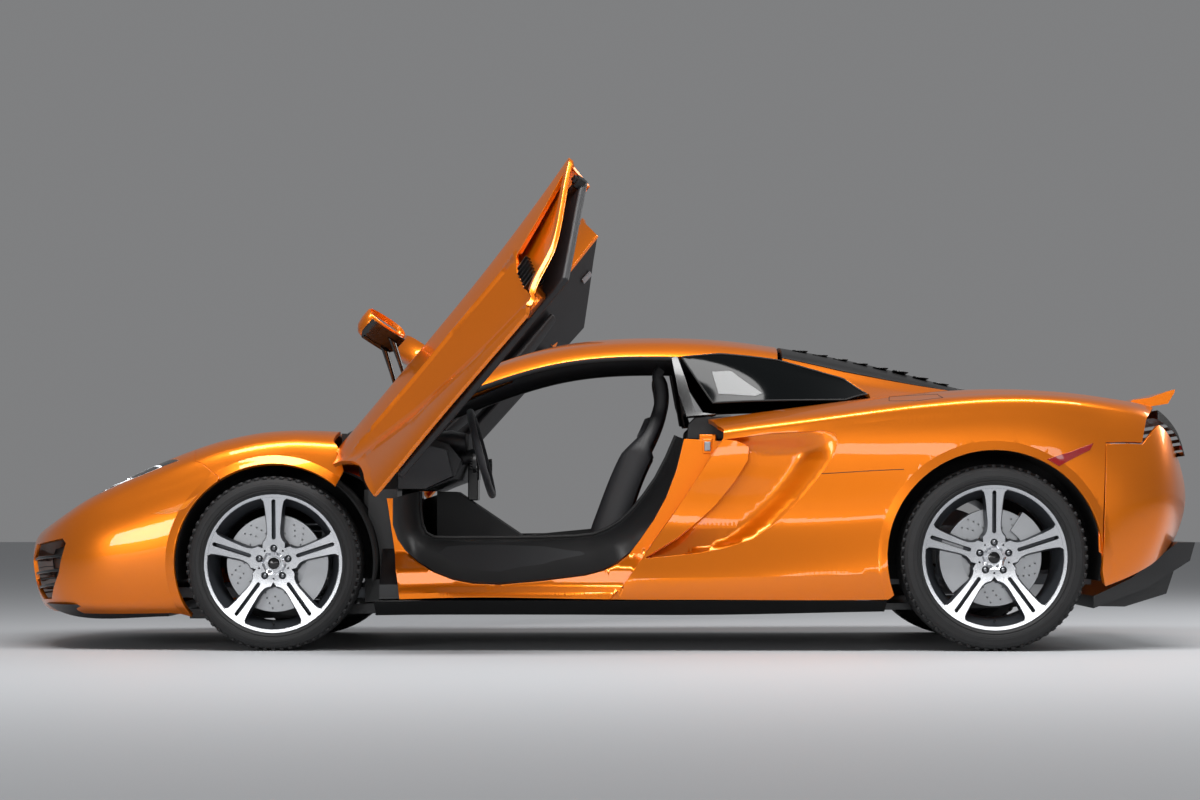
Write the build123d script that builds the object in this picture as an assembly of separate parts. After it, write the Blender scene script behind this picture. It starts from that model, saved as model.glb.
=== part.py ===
"""Mid-engined two-seat supercar with forward-swinging dihedral doors, in millimetres.

Row frame: +Z up, -X to the nose, -Y to the car's left. The origin lies on the ground, under the middle
of the car's length. Both doors stand open at rest, and each turns shut about its one tilted hinge.
"""
from build123d import *
import math
import os

# ---------------------------------------------------------------- driving sizes
LENGTH = 4509.0
WHEELBASE = 2670.0
FRONT_OVERHANG = 1020.0
FRONT_TRACK = 1656.0
REAR_TRACK = 1583.0
PART_GAP = 0.3            # joint between fixed pieces that seat on each other
MOVE_GAP = 8.0            # clearance round a panel that moves

NOSE_X = -LENGTH / 2
FRONT_AXLE_X = NOSE_X + FRONT_OVERHANG
REAR_AXLE_X = FRONT_AXLE_X + WHEELBASE
TAIL_X = LENGTH / 2

# wheels: (tyre radius, tyre width, rim radius, arch radius)
FRONT_TYRE_R, FRONT_TYRE_W, FRONT_RIM_R = 323.5, 235.0, 241.5
REAR_TYRE_R, REAR_TYRE_W, REAR_RIM_R = 345.5, 305.0, 254.0
FRONT_ARCH_R, REAR_ARCH_R = 367.0, 398.0
FRONT_WELL_Y, REAR_WELL_Y = 535.0, 600.0     # inner end of each wheel well
LINER_T = 8.0
SPOKE_COUNT = 5

WALL = 38.0               # body panel wall
ROOF_T = 44.0
GLASS_T = 8.0

HINGE_POINT = (-954.0, -850.0, 752.0)
HINGE_AXIS = (-0.679, -0.510, -0.528)
DOOR_OPEN_DEG = 71.2

# ---------------------------------------------------------------- body sections
# Half sections of the lower body. Columns: X, then (half width, height) of
# floor edge, sill, widest line, shoulder, fender crest, inner valley, hood or deck.
LOWER_SECTIONS = [
    (-2254, (350, 300), (425, 325), (455, 370), (440, 410), (400, 432), (300, 440), (150, 446)),
    (-2190, (560, 215), (655, 260), (682, 340), (660, 420), (590, 458), (420, 475), (210, 484)),
    (-2060, (700, 125), (805, 175), (830, 330), (790, 460), (690, 522), (500, 540), (250, 545)),
    (-1800, (790, 106), (888, 190), (914, 420), (850, 575), (730, 640), (560, 640), (280, 632)),
    (-1500, (815, 106), (915, 210), (945, 480), (880, 700), (765, 764), (600, 742), (300, 706)),
    (-1234, (830, 110), (925, 230), (950, 520), (888, 756), (765, 814), (610, 792), (310, 752)),
    (-950, (820, 125), (935, 190), (938, 480), (890, 750), (790, 806), (640, 812), (320, 792)),
    (-600, (800, 130), (940, 190), (915, 470), (888, 748), (850, 785), (700, 800), (350, 800)),
    (-100, (800, 130), (940, 190), (900, 480), (885, 760), (845, 800), (700, 815), (350, 815)),
    (430, (800, 130), (938, 190), (905, 480), (905, 800), (860, 835), (730, 870), (365, 870)),
    (900, (800, 140), (945, 190), (935, 500), (925, 860), (850, 900), (720, 930), (360, 930)),
    (1436, (780, 150), (945, 200), (954, 540), (925, 915), (800, 956), (640, 978), (320, 983)),
    (1850, (760, 190), (905, 240), (935, 540), (885, 895), (770, 940), (620, 952), (310, 955)),
    (2080, (700, 270), (820, 320), (865, 560), (800, 850), (700, 898), (560, 912), (280, 916)),
    (2190, (560, 380), (660, 420), (705, 560), (660, 705), (590, 745), (430, 750), (215, 752)),
    (2254, (380, 450), (450, 480), (470, 560), (460, 630), (430, 655), (300, 660), (150, 661)),
]
# Half sections of the cabin above the belt. Columns: X, then (half width, height) of
# belt, rail foot, rail top, roof. Each section is closed below the belt at CABIN_FOOT_Z.
CABIN_FOOT_Z = 700.0
CABIN_SECTIONS = [
    (-1060, (640, 770), (600, 774), (540, 776), (270, 778)),
    (-800, (715, 815), (665, 868), (600, 905), (300, 925)),
    (-500, (740, 830), (660, 985), (590, 1040), (295, 1068)),
    (-200, (750, 840), (645, 1075), (570, 1130), (285, 1160)),
    (150, (755, 860), (640, 1105), (560, 1162), (280, 1196)),
    (450, (753, 885), (628, 1090), (550, 1150), (275, 1185)),
    (760, (740, 905), (600, 1035), (520, 1105), (260, 1140)),
    (1100, (715, 925), (560, 975), (470, 1036), (235, 1070)),
    (1520, (660, 930), (520, 940), (420, 948), (210, 952)),
]


def loft_sections(stations):
    """Closed sections at their X, one wire each, skinned into one solid."""
    wires = []
    for x, points in stations:
        ring = [(x, y, z) for y, z in points] + [(x, -y, z) for y, z in reversed(points)]
        wires.append(Wire.make_polygon([Vector(*p) for p in ring], close=True))
    return Solid.make_loft(wires, ruled=False)


def inset(points, depth):
    """Half section moved inwards by depth, along each corner's mean normal; its ends slide level."""
    moved = []
    for i, (y, z) in enumerate(points):
        before = points[i - 1] if i else (0.0, z)
        after = points[i + 1] if i + 1 < len(points) else (0.0, z)
        normals = []
        for (y0, z0), (y1, z1) in ((before, (y, z)), ((y, z), after)):
            size = math.hypot(y1 - y0, z1 - z0)
            normals.append((-(z1 - z0) / size, (y1 - y0) / size))
        ny, nz = normals[0][0] + normals[1][0], normals[0][1] + normals[1][1]
        half = max(0.35, (ny * ny + nz * nz) / 2)
        moved.append((y + depth * ny / half, z + depth * nz / half))
    return moved


def lower_body(depth=0.0, first=None, last=None):
    rows = [r for r in LOWER_SECTIONS
            if (first is None or r[0] >= first) and (last is None or r[0] <= last)]
    return loft_sections([(r[0], inset(list(r[1:]), depth) if depth else list(r[1:])) for r in rows])


def cabin(depth=0.0, first=-1060):
    stations = []
    for x, *points in CABIN_SECTIONS:
        if x >= first:
            ring = [(points[0][0], CABIN_FOOT_Z)] + points
            stations.append((x, inset(ring, depth) if depth else ring))
    return loft_sections(stations)


# ---------------------------------------------------------------- small helpers
def block(x0, x1, y0, y1, z0, z1):
    """Box between two corners."""
    return Pos((x0 + x1) / 2, (y0 + y1) / 2, (z0 + z1) / 2) * Box(abs(x1 - x0), abs(y1 - y0), abs(z1 - z0))


def side_prism(outline, y0, y1, radius=0.0):
    """Side view outline of (X, Z) points pulled from y0 to y1, with rounded upright corners."""
    face = make_face(Polyline([(x, y0, z) for x, z in outline], close=True))
    solid = extrude(face, amount=abs(y1 - y0), dir=(0, 1 if y1 > y0 else -1, 0))
    if radius:
        solid = fillet(solid.edges().filter_by(Axis.Y), radius)
    return solid


def plan_prism(outline, z0, z1, radius=0.0):
    """Plan view outline of (X, Y) points pulled from z0 to z1."""
    face = make_face(Polyline([(x, y, z0) for x, y in outline], close=True))
    solid = extrude(face, amount=z1 - z0, dir=(0, 0, 1))
    if radius:
        solid = fillet(solid.edges().filter_by(Axis.Z), radius)
    return solid


def drum(x, z, radius, y0, y1):
    """Cylinder along Y."""
    return Pos(x, (y0 + y1) / 2, z) * Rot(90, 0, 0) * Cylinder(radius, abs(y1 - y0))


def bar(a, b, radius):
    """Round bar between two points."""
    a, b = Vector(*a), Vector(*b)
    plane = Plane(origin=a, z_dir=b - a)
    return extrude(plane * Circle(radius), amount=(b - a).length)


def mirrored(shape):
    return mirror(shape, about=Plane.XZ)


def both(shape):
    """A left-hand piece and its right-hand twin."""
    return [shape, mirrored(shape)]


def solids_of(shape):
    found = []
    for one in (shape if isinstance(shape, (list, tuple)) else [shape]):
        found += list(one.solids())
    return found


def keep_big(shape, share=0.02):
    """Only the solids that matter, without slivers left by a cut."""
    found = solids_of(shape)
    largest = max(s.volume for s in found)
    return [s for s in found if s.volume > share * largest]


PARTS = {}


def add(name, shape, share=0.02):
    PARTS[name] = keep_big(shape, share)


# ---------------------------------------------------------------- body envelope and cuts
REACH = 1100.0            # further out than any side of the car
SIDES = (-1, 1)
OUTER = lower_body()
CABIN_OUTER = cabin()
SHELL = OUTER + CABIN_OUTER
SHELL = SHELL - lower_body(WALL, -2190, 2190)
INSIDE = lower_body(WALL + PART_GAP, -2190, 2190)
SHELL = SHELL - cabin(ROOF_T, -800)
AXLES = ((FRONT_AXLE_X, FRONT_TYRE_R, FRONT_ARCH_R, FRONT_WELL_Y),
         (REAR_AXLE_X, REAR_TYRE_R, REAR_ARCH_R, REAR_WELL_Y))


def wheel_well(axle, side, grow=0.0):
    """Room round one wheel, open below and to the side."""
    x, z, radius, inner_y = axle
    radius += grow
    inner = side * (inner_y - grow)
    return (drum(x, z, radius, inner, side * REACH)
            + block(x - radius, x + radius, inner, side * REACH, -50, z))


for axle in AXLES:
    for side in SIDES:
        SHELL = SHELL - wheel_well(axle, side)

UNDERSIDE_Z = 168.0       # the belly panels end at this height
BUMPER_X = -1500.0        # rear end of the nose piece
SILL_Z = 187.0
BELT_Y = 742.0            # inner edge of the ledge under the side window
COWL_X = -1000.0
ROOF_REAR_X = 665.0
QUARTER_END_X = 1840.0    # the tail piece starts here, below the quarter's tail
TAIL_GAP_Z = 772.0
BONNET_OUTLINE = [(-2040, 330), (-1890, 480), (-1500, 590), (-1010, 640),
                  (-1010, -640), (-1500, -590), (-1890, -480), (-2040, -330)]
LAMP_OUTLINE = [(-2020, 536), (-1910, 584), (-1736, 660), (-1598, 705), (-1665, 725), (-1795, 690),
                (-1900, 650), (-2010, 590)]
INTAKE_OUTLINE = [(-2300, 424), (-2038, 415), (-2024, 397), (-2055, 284), (-2096, 190), (-2300, 190)]
FRONT_DOOR_X = FRONT_AXLE_X + FRONT_ARCH_R + 14.0
DOOR_OUTLINE = [
    (FRONT_DOOR_X, SILL_Z), (33, SILL_Z), (452, 786), (452, 832), (398, 890), (398, 960),
    (-965, 960), (-1000, 800), (-1000, 700), (-968, 612), (FRONT_DOOR_X, 430),
]
DOOR_SCALLOP = [(-872, 470), (-700, 548), (-300, 592), (20, 604), (92, 560), (60, 400), (-6, 300),
                (-400, 296), (-700, 352), (-872, 440)]
SCALLOP_DEPTH = 18.0
SIDE_WINDOW = [(-850, 700), (-850, 832), (-440, 1022), (-310, 1072), (150, 1100), (270, 1092), (398, 880),
               (398, 700)]
QUARTER_WINDOW = [(284, 1090), (420, 1080), (650, 1040), (905, 968), (985, 946), (905, 930), (412, 892)]
SCREEN_OUTLINE = [(-960, 560), (-420, 520), (-350, 300), (-330, 0), (-350, -300), (-420, -520), (-960, -560)]
SCALLOP_OUTLINE = [(455, 782), (820, 792), (868, 780), (862, 724), (806, 650), (722, 556), (622, 470),
                   (510, 395), (370, 366), (140, 342)]


def wall_piece(region, *cuts):
    """Part of the body wall inside a region, less its cuts."""
    piece = SHELL & region
    for cut in cuts:
        piece = piece - cut
    return piece


def grown(outline, gap):
    """An outline moved outwards by a gap, or inwards by a negative one."""
    face = make_face(Polyline([(u, v) for u, v in outline], close=True))
    wire = offset(face, amount=gap, kind=Kind.INTERSECTION).faces()[0].outer_wire()
    return [((edge @ 0).X, (edge @ 0).Y) for edge in wire.order_edges()]


def side_cut(outline, inner_y, gap=0.0, sides=SIDES):
    """Side view prism on one or both sides of the car, from inner_y out past its skin."""
    points = grown(outline, gap) if gap else outline
    cut = None
    for side in sides:
        prism = side_prism(points, side * inner_y, side * REACH)
        cut = prism if cut is None else cut + prism
    return cut


def box_all(x0, x1, z0, z1, half=REACH):
    """Box across the whole car."""
    return block(x0, x1, -half, half, z0, z1)


# ---------------------------------------------------------------- fixed panels
BONNET_REAR_GAP = 20.0    # the bonnet's rear edge swings back into this as it opens
bonnet_hole = plan_prism(grown(BONNET_OUTLINE, MOVE_GAP), 480, 1000)
rear_slot = block(-1040, -1010 + BONNET_REAR_GAP, -640 - MOVE_GAP, 640 + MOVE_GAP, 776, 1000)
bonnet_hole = bonnet_hole + rear_slot
lamp_hole = side_cut(LAMP_OUTLINE, 560, PART_GAP)
intake_hole = side_cut(INTAKE_OUTLINE, 345)
door_hole = side_cut(DOOR_OUTLINE, BELT_Y, MOVE_GAP)
NOSE_FACE_X = -2030.0
nose_grille_hole = block(-2300, NOSE_FACE_X, -300, 300, 215, 300)

add("front_bumper", wall_piece(box_all(-2300, BUMPER_X, UNDERSIDE_Z + PART_GAP, 900),
                               bonnet_hole, lamp_hole, intake_hole, nose_grille_hole))
add("headlamps", [s for side in SIDES
                  for s in wall_piece(side_cut(LAMP_OUTLINE, 564, sides=(side,)), bonnet_hole).solids()], 0.3)
for name, side in (("left", -1), ("right", 1)):
    region = block(BUMPER_X + PART_GAP, COWL_X - PART_GAP, side * 560, side * REACH, SILL_Z, 900)
    region = region + block(COWL_X - 50, FRONT_DOOR_X + 60, side * BELT_Y, side * REACH, SILL_Z, 900)
    region = region - block(-1022, COWL_X, side * 700, side * REACH, 660, 900)
    add(f"front_fender_{name}", wall_piece(region, bonnet_hole, door_hole))

# lower nose: splitter tray with blades across each corner intake
tray = lower_body(10, -2190, -1500) & block(-2300, -1640, -820, 820, 100, UNDERSIDE_Z)
PARTS["splitter"] = keep_big(tray)
blades = []
intake_room = side_cut(grown(INTAKE_OUTLINE, -PART_GAP), 349)
for side in SIDES:
    inner = lower_body(14) & intake_room
    for z in (215, 282, 350):
        fin = block(-2230, -2050, side * 350, side * 860, z, z + 12)
        blades.append(inner & fin)
    back = block(-2062, -2050, side * 350, side * 790, 196, 392)
    blades.append(inner & back)
grid = lower_body(30, -2190, -1500) & block(-2215, -2100, -300 + PART_GAP, 300 - PART_GAP, 215 + PART_GAP,
                                            300 - PART_GAP)
slots = [block(-2300, -2110, -280, 280, z, z + 14) for z in (228, 250, 272)]
for slot in slots:
    grid = grid - slot
left_side = blades[3] + blades[0] + blades[1] + blades[2]
right_side = blades[7] + blades[4] + blades[5] + blades[6]
PARTS["front_intakes"] = keep_big([left_side, right_side, grid])

# belly: the wall's floor between the wheels, flat and smooth
BELLY_HALF = 780.0
belly = wall_piece(box_all(-1600, QUARTER_END_X, 0, UNDERSIDE_Z, BELLY_HALF))
add("underfloor", belly)

# dark skirts under the doors
skirt_region = box_all(FRONT_DOOR_X - 8, REAR_AXLE_X - REAR_ARCH_R + 8, 0, SILL_Z - PART_GAP)
skirts = wall_piece(skirt_region, box_all(-2000, 2000, 0, 300, BELLY_HALF + PART_GAP))
add("side_skirts", skirts, 0.1)

# roof with pillars, windscreen, quarter windows
side_window_hole = side_cut(SIDE_WINDOW, 430)
quarter_hole = side_cut(QUARTER_WINDOW, 430, PART_GAP)
screen_hole = plan_prism(grown(SCREEN_OUTLINE, PART_GAP), 780, 1300)
roof_region = box_all(-990, ROOF_REAR_X, 836, 1300, BELT_Y - 4)
add("roof", wall_piece(roof_region, side_window_hole, quarter_hole, screen_hole,
                       side_cut([(398, 800), (398, 900), (700, 905), (700, 800)], 600)))
glass = (CABIN_OUTER & plan_prism(SCREEN_OUTLINE, 780, 1300)) - cabin(GLASS_T)
add("windscreen", glass & box_all(-970, -300, 838, 1300), 0.5)
quarter_glass = (CABIN_OUTER & side_cut(QUARTER_WINDOW, 434)) - cabin(GLASS_T)
add("quarter_glass", quarter_glass, 0.3)

# rear quarters with their side scoops
REAR_PANEL_HALF = 470.0
GRILLE_OUTLINE = [(2086, 900), (2300, 900), (2300, 726), (2160, 726), (2086, 790)]
for name, side in (("left", -1), ("right", 1)):
    main = block(140, 2090, side * REAR_PANEL_HALF, side * REACH, SILL_Z, 1300)
    upper = main - block(QUARTER_END_X, 2300, side * 400, side * REACH, 0, TAIL_GAP_Z)
    piece = wall_piece(upper, door_hole, quarter_hole, side_cut(SCALLOP_OUTLINE, 700, PART_GAP),
                       block(-1000, ROOF_REAR_X + PART_GAP, side * 400, side * BELT_Y, 830, 1300),
                       side_prism(grown(GRILLE_OUTLINE, PART_GAP), -700, 700))
    add(f"rear_quarter_{name}", piece)

# black scoop ducts behind the scallops, open to the side
ducts = []
for side in SIDES:
    duct = side_prism(grown(SCALLOP_OUTLINE, -PART_GAP), side * 760, side * 880)
    duct = duct - side_prism(grown(SCALLOP_OUTLINE, -26), side * 778, side * REACH)
    duct = duct & lower_body(20, 100, 1436)
    ducts += duct.solids()
add("side_intakes", ducts, 0.3)

# engine cover: louvred panel between the two rear shoulders, down to the air brake
COVER_END_X = 2085.0
louvres = []
for i in range(9):
    x = 730 + 80 * i
    louvres.append(block(x, x + 34, -REAR_PANEL_HALF + 60, REAR_PANEL_HALF - 60, 850, 1300))
cover_region = block(ROOF_REAR_X + PART_GAP, COVER_END_X, -REAR_PANEL_HALF + PART_GAP,
                     REAR_PANEL_HALF - PART_GAP, 870, 1300)
add("engine_cover", wall_piece(cover_region, *louvres))

# tail: bumper, slatted rear face, lamps, diffuser and tail pipes
DIFFUSER_TOP_Z = 400.0
grille_prism = side_prism(GRILLE_OUTLINE, -640, 640)
tail_region = block(QUARTER_END_X + PART_GAP, 2300, -REACH, REACH, DIFFUSER_TOP_Z - 110,
                    TAIL_GAP_Z - PART_GAP)
PIPE_Y, PIPE_Z, PIPE_R = 105.0, 610.0, 62.0
PIPE_END_X = TAIL_X - 4.5
pipe_holes = None
for side in SIDES:
    hole = Pos(2200, side * PIPE_Y, PIPE_Z) * Rot(0, 90, 0) * Cylinder(PIPE_R + PART_GAP, 300)
    pipe_holes = hole if pipe_holes is None else pipe_holes + hole
diffuser_hole = block(1700, 2300, -640, 640, 0, DIFFUSER_TOP_Z)
add("rear_bumper", wall_piece(tail_region, side_prism(grown(GRILLE_OUTLINE, PART_GAP), -644, 644),
                              pipe_holes, diffuser_hole))
grille = wall_piece(grille_prism)
for z in (742, 766, 790, 814, 838):
    grille = grille - block(2060, 2300, -600, 600, z, z + 12)
add("rear_grille", grille)

lamps = []
for side in SIDES:
    lamp = block(2100, 2300, side * 300, side * (616 - PART_GAP), 749 + PART_GAP, 767 - PART_GAP)
    lamp = lamp & lower_body(0)
    lamps.append(lamp - lower_body(WALL - 8))
add("tail_lamps", lamps, 0.2)
PARTS["rear_grille"] = keep_big(PARTS["rear_grille"][0] - block(2060, 2300, -616, 616, 749, 767))

DIFFUSER_OUTLINE = [(QUARTER_END_X + PART_GAP, 150), (QUARTER_END_X + PART_GAP, 196), (1980, 262),
                    (2160, 400 - PART_GAP), (2225, 400 - PART_GAP), (2205, 330), (2040, 226)]
diffuser = side_prism(DIFFUSER_OUTLINE, -640 + PART_GAP, 640 - PART_GAP)
for y in (-420, -140, 140, 420):
    fin = [(QUARTER_END_X + 20, 152), (2040, 232), (2190, 320), (2150, 200), (1990, 150)]
    diffuser = diffuser + side_prism(fin, y - 6, y + 6)
add("diffuser", diffuser)
pipes = []
for side in SIDES:
    pipe = Pos(PIPE_END_X - 100, side * PIPE_Y, PIPE_Z) * Rot(0, 90, 0) * Cylinder(PIPE_R, 200)
    bore = Pos(PIPE_END_X - 80, side * PIPE_Y, PIPE_Z) * Rot(0, 90, 0) * Cylinder(PIPE_R - 4, 180)
    pipes.append(pipe - bore)
add("exhaust_tips", pipes)

# air brake: a wing set into the tail of the deck, hinged along its front edge
WING_X0, WING_X1, WING_HALF = 1990.0, 2160.0, 600.0
WING_HINGE = (WING_X0, 0, 930.0)
WING_ROD_R = 4.0
wing = [(WING_X0 + 4, 908), (WING_X0, 914), (WING_X0, 934), (WING_X0 + 8, 940), (2060, 948), (2140, 976),
        (WING_X1, 980), (WING_X1 - 4, 966), (WING_X1 - 28, 926), (2060, 914)]
air_brake = side_prism(wing, -WING_HALF, WING_HALF)
wing_room = side_prism(grown(wing, MOVE_GAP), -WING_HALF - MOVE_GAP, WING_HALF + MOVE_GAP)
wing_room = wing_room + block(WING_X0 - MOVE_GAP, 2300, -WING_HALF - MOVE_GAP, WING_HALF + MOVE_GAP,
                              916, 1100)
for name in ("rear_quarter_left", "rear_quarter_right"):
    PARTS[name] = keep_big([p - wing_room for p in PARTS[name]])
cover = PARTS["engine_cover"][0] - wing_room
for side in SIDES:
    cover = cover + block(WING_X0 - 20, WING_X0 - 3, side * 380, side * 440,
                          WING_HINGE[2] - 6, WING_HINGE[2] + 0.5)
    cover = cover + block(WING_X0 - 40, WING_X0 - 14, side * 380, side * 440,
                          WING_HINGE[2] - 24, WING_HINGE[2] + 0.5)
    cover = cover + drum(WING_HINGE[0], WING_HINGE[2], WING_ROD_R, side * 380, side * 440)
    air_brake = air_brake - drum(WING_HINGE[0], WING_HINGE[2], WING_ROD_R + PART_GAP, side * 372, side * 448)
add("engine_cover", cover)
add("air_brake", air_brake)

# bonnet, hinged along its rear edge
BONNET_HINGE = (-1010.0, 0.0, 796.0)
BONNET_ROD_R = 5.0
bonnet = wall_piece(plan_prism(BONNET_OUTLINE, 500, 1000))
for side in SIDES:
    bonnet = bonnet - drum(BONNET_HINGE[0], BONNET_HINGE[2], BONNET_ROD_R + PART_GAP, side * 492, side * 564)
add("bonnet", bonnet)

# ---------------------------------------------------------------- doors
door_prism = side_prism(DOOR_OUTLINE, -BELT_Y - MOVE_GAP, -REACH)
skin = wall_piece(door_prism, side_prism(DOOR_SCALLOP, -700, -REACH) - lower_body(SCALLOP_DEPTH, -2190, 2190))
casing_outline = grown([(-820, 372), (150, 372), (404, 770), (390, 818), (-900, 775), (-900, 620)], -2)
casing = INSIDE & side_prism(casing_outline, -792, -REACH)
DOOR_PIVOT = Axis(HINGE_POINT, HINGE_AXIS)


DOOR_PIN_R = 8.0


def on_hinge(distance):
    """Point on the left door's hinge axis, this far along it."""
    return tuple(p + distance * a for p, a in zip(HINGE_POINT, HINGE_AXIS))


def opened(shape):
    """A shut left door piece, swung to the open place that it is shown in."""
    return shape.rotate(DOOR_PIVOT, DOOR_OPEN_DEG)


mirror_head = Pos(-560, -985, 925) * Box(120, 230, 130)
mirror_head = fillet(mirror_head.edges().filter_by(Axis.X), 40)
mirror_head = chamfer(mirror_head.faces().sort_by(Axis.X)[0].edges(), 28)
stalks = bar((-700, -800, 790), (-590, -930, 885), 11) + bar((-650, -800, 790), (-545, -930, 880), 11)
door_mirror = mirror_head + stalks
skin = skin - bar((-700, -800, 790), (-590, -930, 885), 11 + PART_GAP)
skin = skin - bar((-650, -800, 790), (-545, -930, 880), 11 + PART_GAP)
skin_solids = keep_big(skin - bar(on_hinge(-58), on_hinge(-140), DOOR_PIN_R + PART_GAP))
for name, shapes in (("skin", skin_solids), ("casing", keep_big(casing)), ("mirror", [door_mirror])):
    shapes = [opened(s) for s in shapes]
    PARTS[f"door_left_{name}"] = keep_big(shapes)
    PARTS[f"door_right_{name}"] = keep_big([mirrored(s) for s in shapes])

# ---------------------------------------------------------------- structure
FLOOR_Z = 214.0
TUB_Z = UNDERSIDE_Z + PART_GAP
tub = block(-900, 600, -640, 640, TUB_Z, FLOOR_Z)
for side in SIDES:
    rail = [(side * 640, TUB_Z), (side * 860, 190), (side * 862, 244), (side * 700, 402), (side * 600, 402),
            (side * 600, TUB_Z)]
    face = make_face(Polyline([(-846, y, z) for y, z in rail], close=True))
    tub = tub + extrude(face, amount=1310, dir=(1, 0, 0))
    tub = tub + block(-900, -790, side * 500, side * 726, TUB_Z, 600 - PART_GAP)
    tub = tub + block(470, 560, side * 600, side * 750, 190, 760)
tub = tub + block(-930, -900, -560, 560, TUB_Z, 600 - PART_GAP) + block(520, 560, -640, 640, TUB_Z, 880)
tub = tub & INSIDE
for axle in AXLES:
    for side in SIDES:
        tub = tub - wheel_well(axle, side, 12)
tub = tub - block(-1000, 700, -1100, 1100, 0, 170)
add("tub", tub)

liners = []
for axle in AXLES:
    for side in SIDES:
        x, z, radius, inner_y = axle
        shell = (drum(x, z, radius + 1 + LINER_T, side * (inner_y - 1 - LINER_T), side * REACH)
                 - drum(x, z, radius + 1, side * (inner_y - 1), side * (REACH + 50)))
        shell = shell - block(x - 500, x + 500, side * 300, side * 1200, -100, 260)
        shell = shell - drum(x, z, 250, side * (inner_y - 20), side * (inner_y + 20))
        liners.append(shell & INSIDE)
add("arch_liners", liners, 0.2)

COWL_HALF = 728.0
PILLAR_FOOT_Z = 836.0
cowl_region = box_all(COWL_X, -966, 600, PILLAR_FOOT_Z - PART_GAP, COWL_HALF)
for side in SIDES:
    cowl_region = cowl_region + block(COWL_X, -800, side * 566, side * COWL_HALF,
                                      600, PILLAR_FOOT_Z - PART_GAP)
cowl = wall_piece(cowl_region, rear_slot)
# hinge rods of the bonnet, in the gap behind its rear edge, and a hinge pin for each door
for side in SIDES:
    cowl = cowl + block(COWL_X - 6, COWL_X + 20, side * 500, side * 556,
                        BONNET_HINGE[2] - 5, BONNET_HINGE[2] + 0.5)
    cowl = cowl + drum(BONNET_HINGE[0], BONNET_HINGE[2], BONNET_ROD_R, side * 500, side * 556)
hinge_pin = bar(on_hinge(-62), on_hinge(-128), DOOR_PIN_R)
pin_end = on_hinge(-124)
hinge_pin = hinge_pin + bar(pin_end, (pin_end[0], -COWL_HALF + 30, pin_end[2] + 2), DOOR_PIN_R)
cowl = cowl + hinge_pin + mirrored(hinge_pin)
WHEEL_CENTRE = (-492.0, -370.0, 741.0)
COLUMN_AXIS = (0.966, 0.0, 0.257)
dash_outline = [(-920, 600), (-950, 660), (-950, 735), (-860, 800), (-700, 800), (-610, 775), (-560, 715),
                (-585, 640), (-690, 600)]
dash = side_prism(dash_outline, -556, 556) + side_prism([(-790, 602), (-790, 760), (-700, 770), (-610, 750),
                                                          (-585, 650), (-690, 602)], -690, 690)
column_end = tuple(c - (23 + PART_GAP) * a for c, a in zip(WHEEL_CENTRE, COLUMN_AXIS))
column_foot = tuple(c - 150 * a for c, a in zip(WHEEL_CENTRE, COLUMN_AXIS))
dash = dash + bar(column_foot, column_end, 26)
add("dashboard", dash)
add("cowl", cowl)
SEAT_Z = FLOOR_Z + PART_GAP
console = side_prism([(-680, SEAT_Z), (-680, 596), (-600, 594), (-345, 421), (-40, 450), (150, 470),
                      (500, 480), (500, SEAT_Z)], -120, 120)
add("centre_console", console)

SEAT_Y = 370.0
seat_outline = [(-430, SEAT_Z), (-440, 340), (-400, 362), (-90, 318), (-20, 400), (60, 640), (140, 800),
                (186, 930), (156, 1050), (186, 1090), (232, 1080), (270, 1030), (296, 900), (240, 720),
                (190, 560), (180, SEAT_Z)]
bolster_outline = [(-420, SEAT_Z), (-425, 372), (-385, 404), (-130, 368), (-62, 452), (8, 640), (84, 790),
                   (150, 880), (240, 720), (190, 560), (180, SEAT_Z)]
SEAT_HALF, BOLSTER_W = 225.0, 66.0
for name, side in (("left", -1), ("right", 1)):
    seat = side_prism(seat_outline, side * SEAT_Y - SEAT_HALF, side * SEAT_Y + SEAT_HALF)
    for y in (side * SEAT_Y - SEAT_HALF, side * SEAT_Y + SEAT_HALF - BOLSTER_W):
        seat = seat + side_prism(bolster_outline, y, y + BOLSTER_W)
    add(f"seat_{name}", seat)
# frames that carry the engine, the suspension arms and the panels at each end
RAIL_Y0, RAIL_Y1 = 404.0, 432.0
engine = block(640, 1180, -300, 300, 270, 690)
add("engine_block", engine)
add("luggage_tub", block(-1800, -1060, -400, 400, 300, 580) - block(-1784, -1076, -384, 384, 316, 700))
ARM_ENDS = 150.0
front_frame = None
rear_frame = None
for side in SIDES:
    lower_z, upper_z = FRONT_TYRE_R - 120, FRONT_TYRE_R + 130
    rail = block(-2030, -930 - PART_GAP, side * RAIL_Y0, side * RAIL_Y1, lower_z - 20, lower_z + 20)
    rail = rail + block(FRONT_AXLE_X - 170, -930 - PART_GAP, side * RAIL_Y0, side * RAIL_Y1,
                        upper_z - 16, upper_z + 16)
    for x in (FRONT_AXLE_X - ARM_ENDS, FRONT_AXLE_X + ARM_ENDS):
        rail = rail + block(x - 20, x + 20, side * RAIL_Y0, side * RAIL_Y1, lower_z, upper_z)
    front_frame = rail if front_frame is None else front_frame + rail
    lower_z, upper_z = REAR_TYRE_R - 90, REAR_TYRE_R + 100
    rail = block(560 + PART_GAP, 1860, side * RAIL_Y0, side * RAIL_Y1, lower_z - 20, lower_z + 20)
    rail = rail + block(560 + PART_GAP, 1640, side * RAIL_Y0, side * RAIL_Y1, upper_z - 16, upper_z + 16)
    for x in (REAR_AXLE_X - ARM_ENDS, REAR_AXLE_X + ARM_ENDS):
        rail = rail + block(x - 20, x + 20, side * RAIL_Y0, side * RAIL_Y1, lower_z, upper_z)
    rear_frame = rail if rear_frame is None else rear_frame + rail
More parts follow.
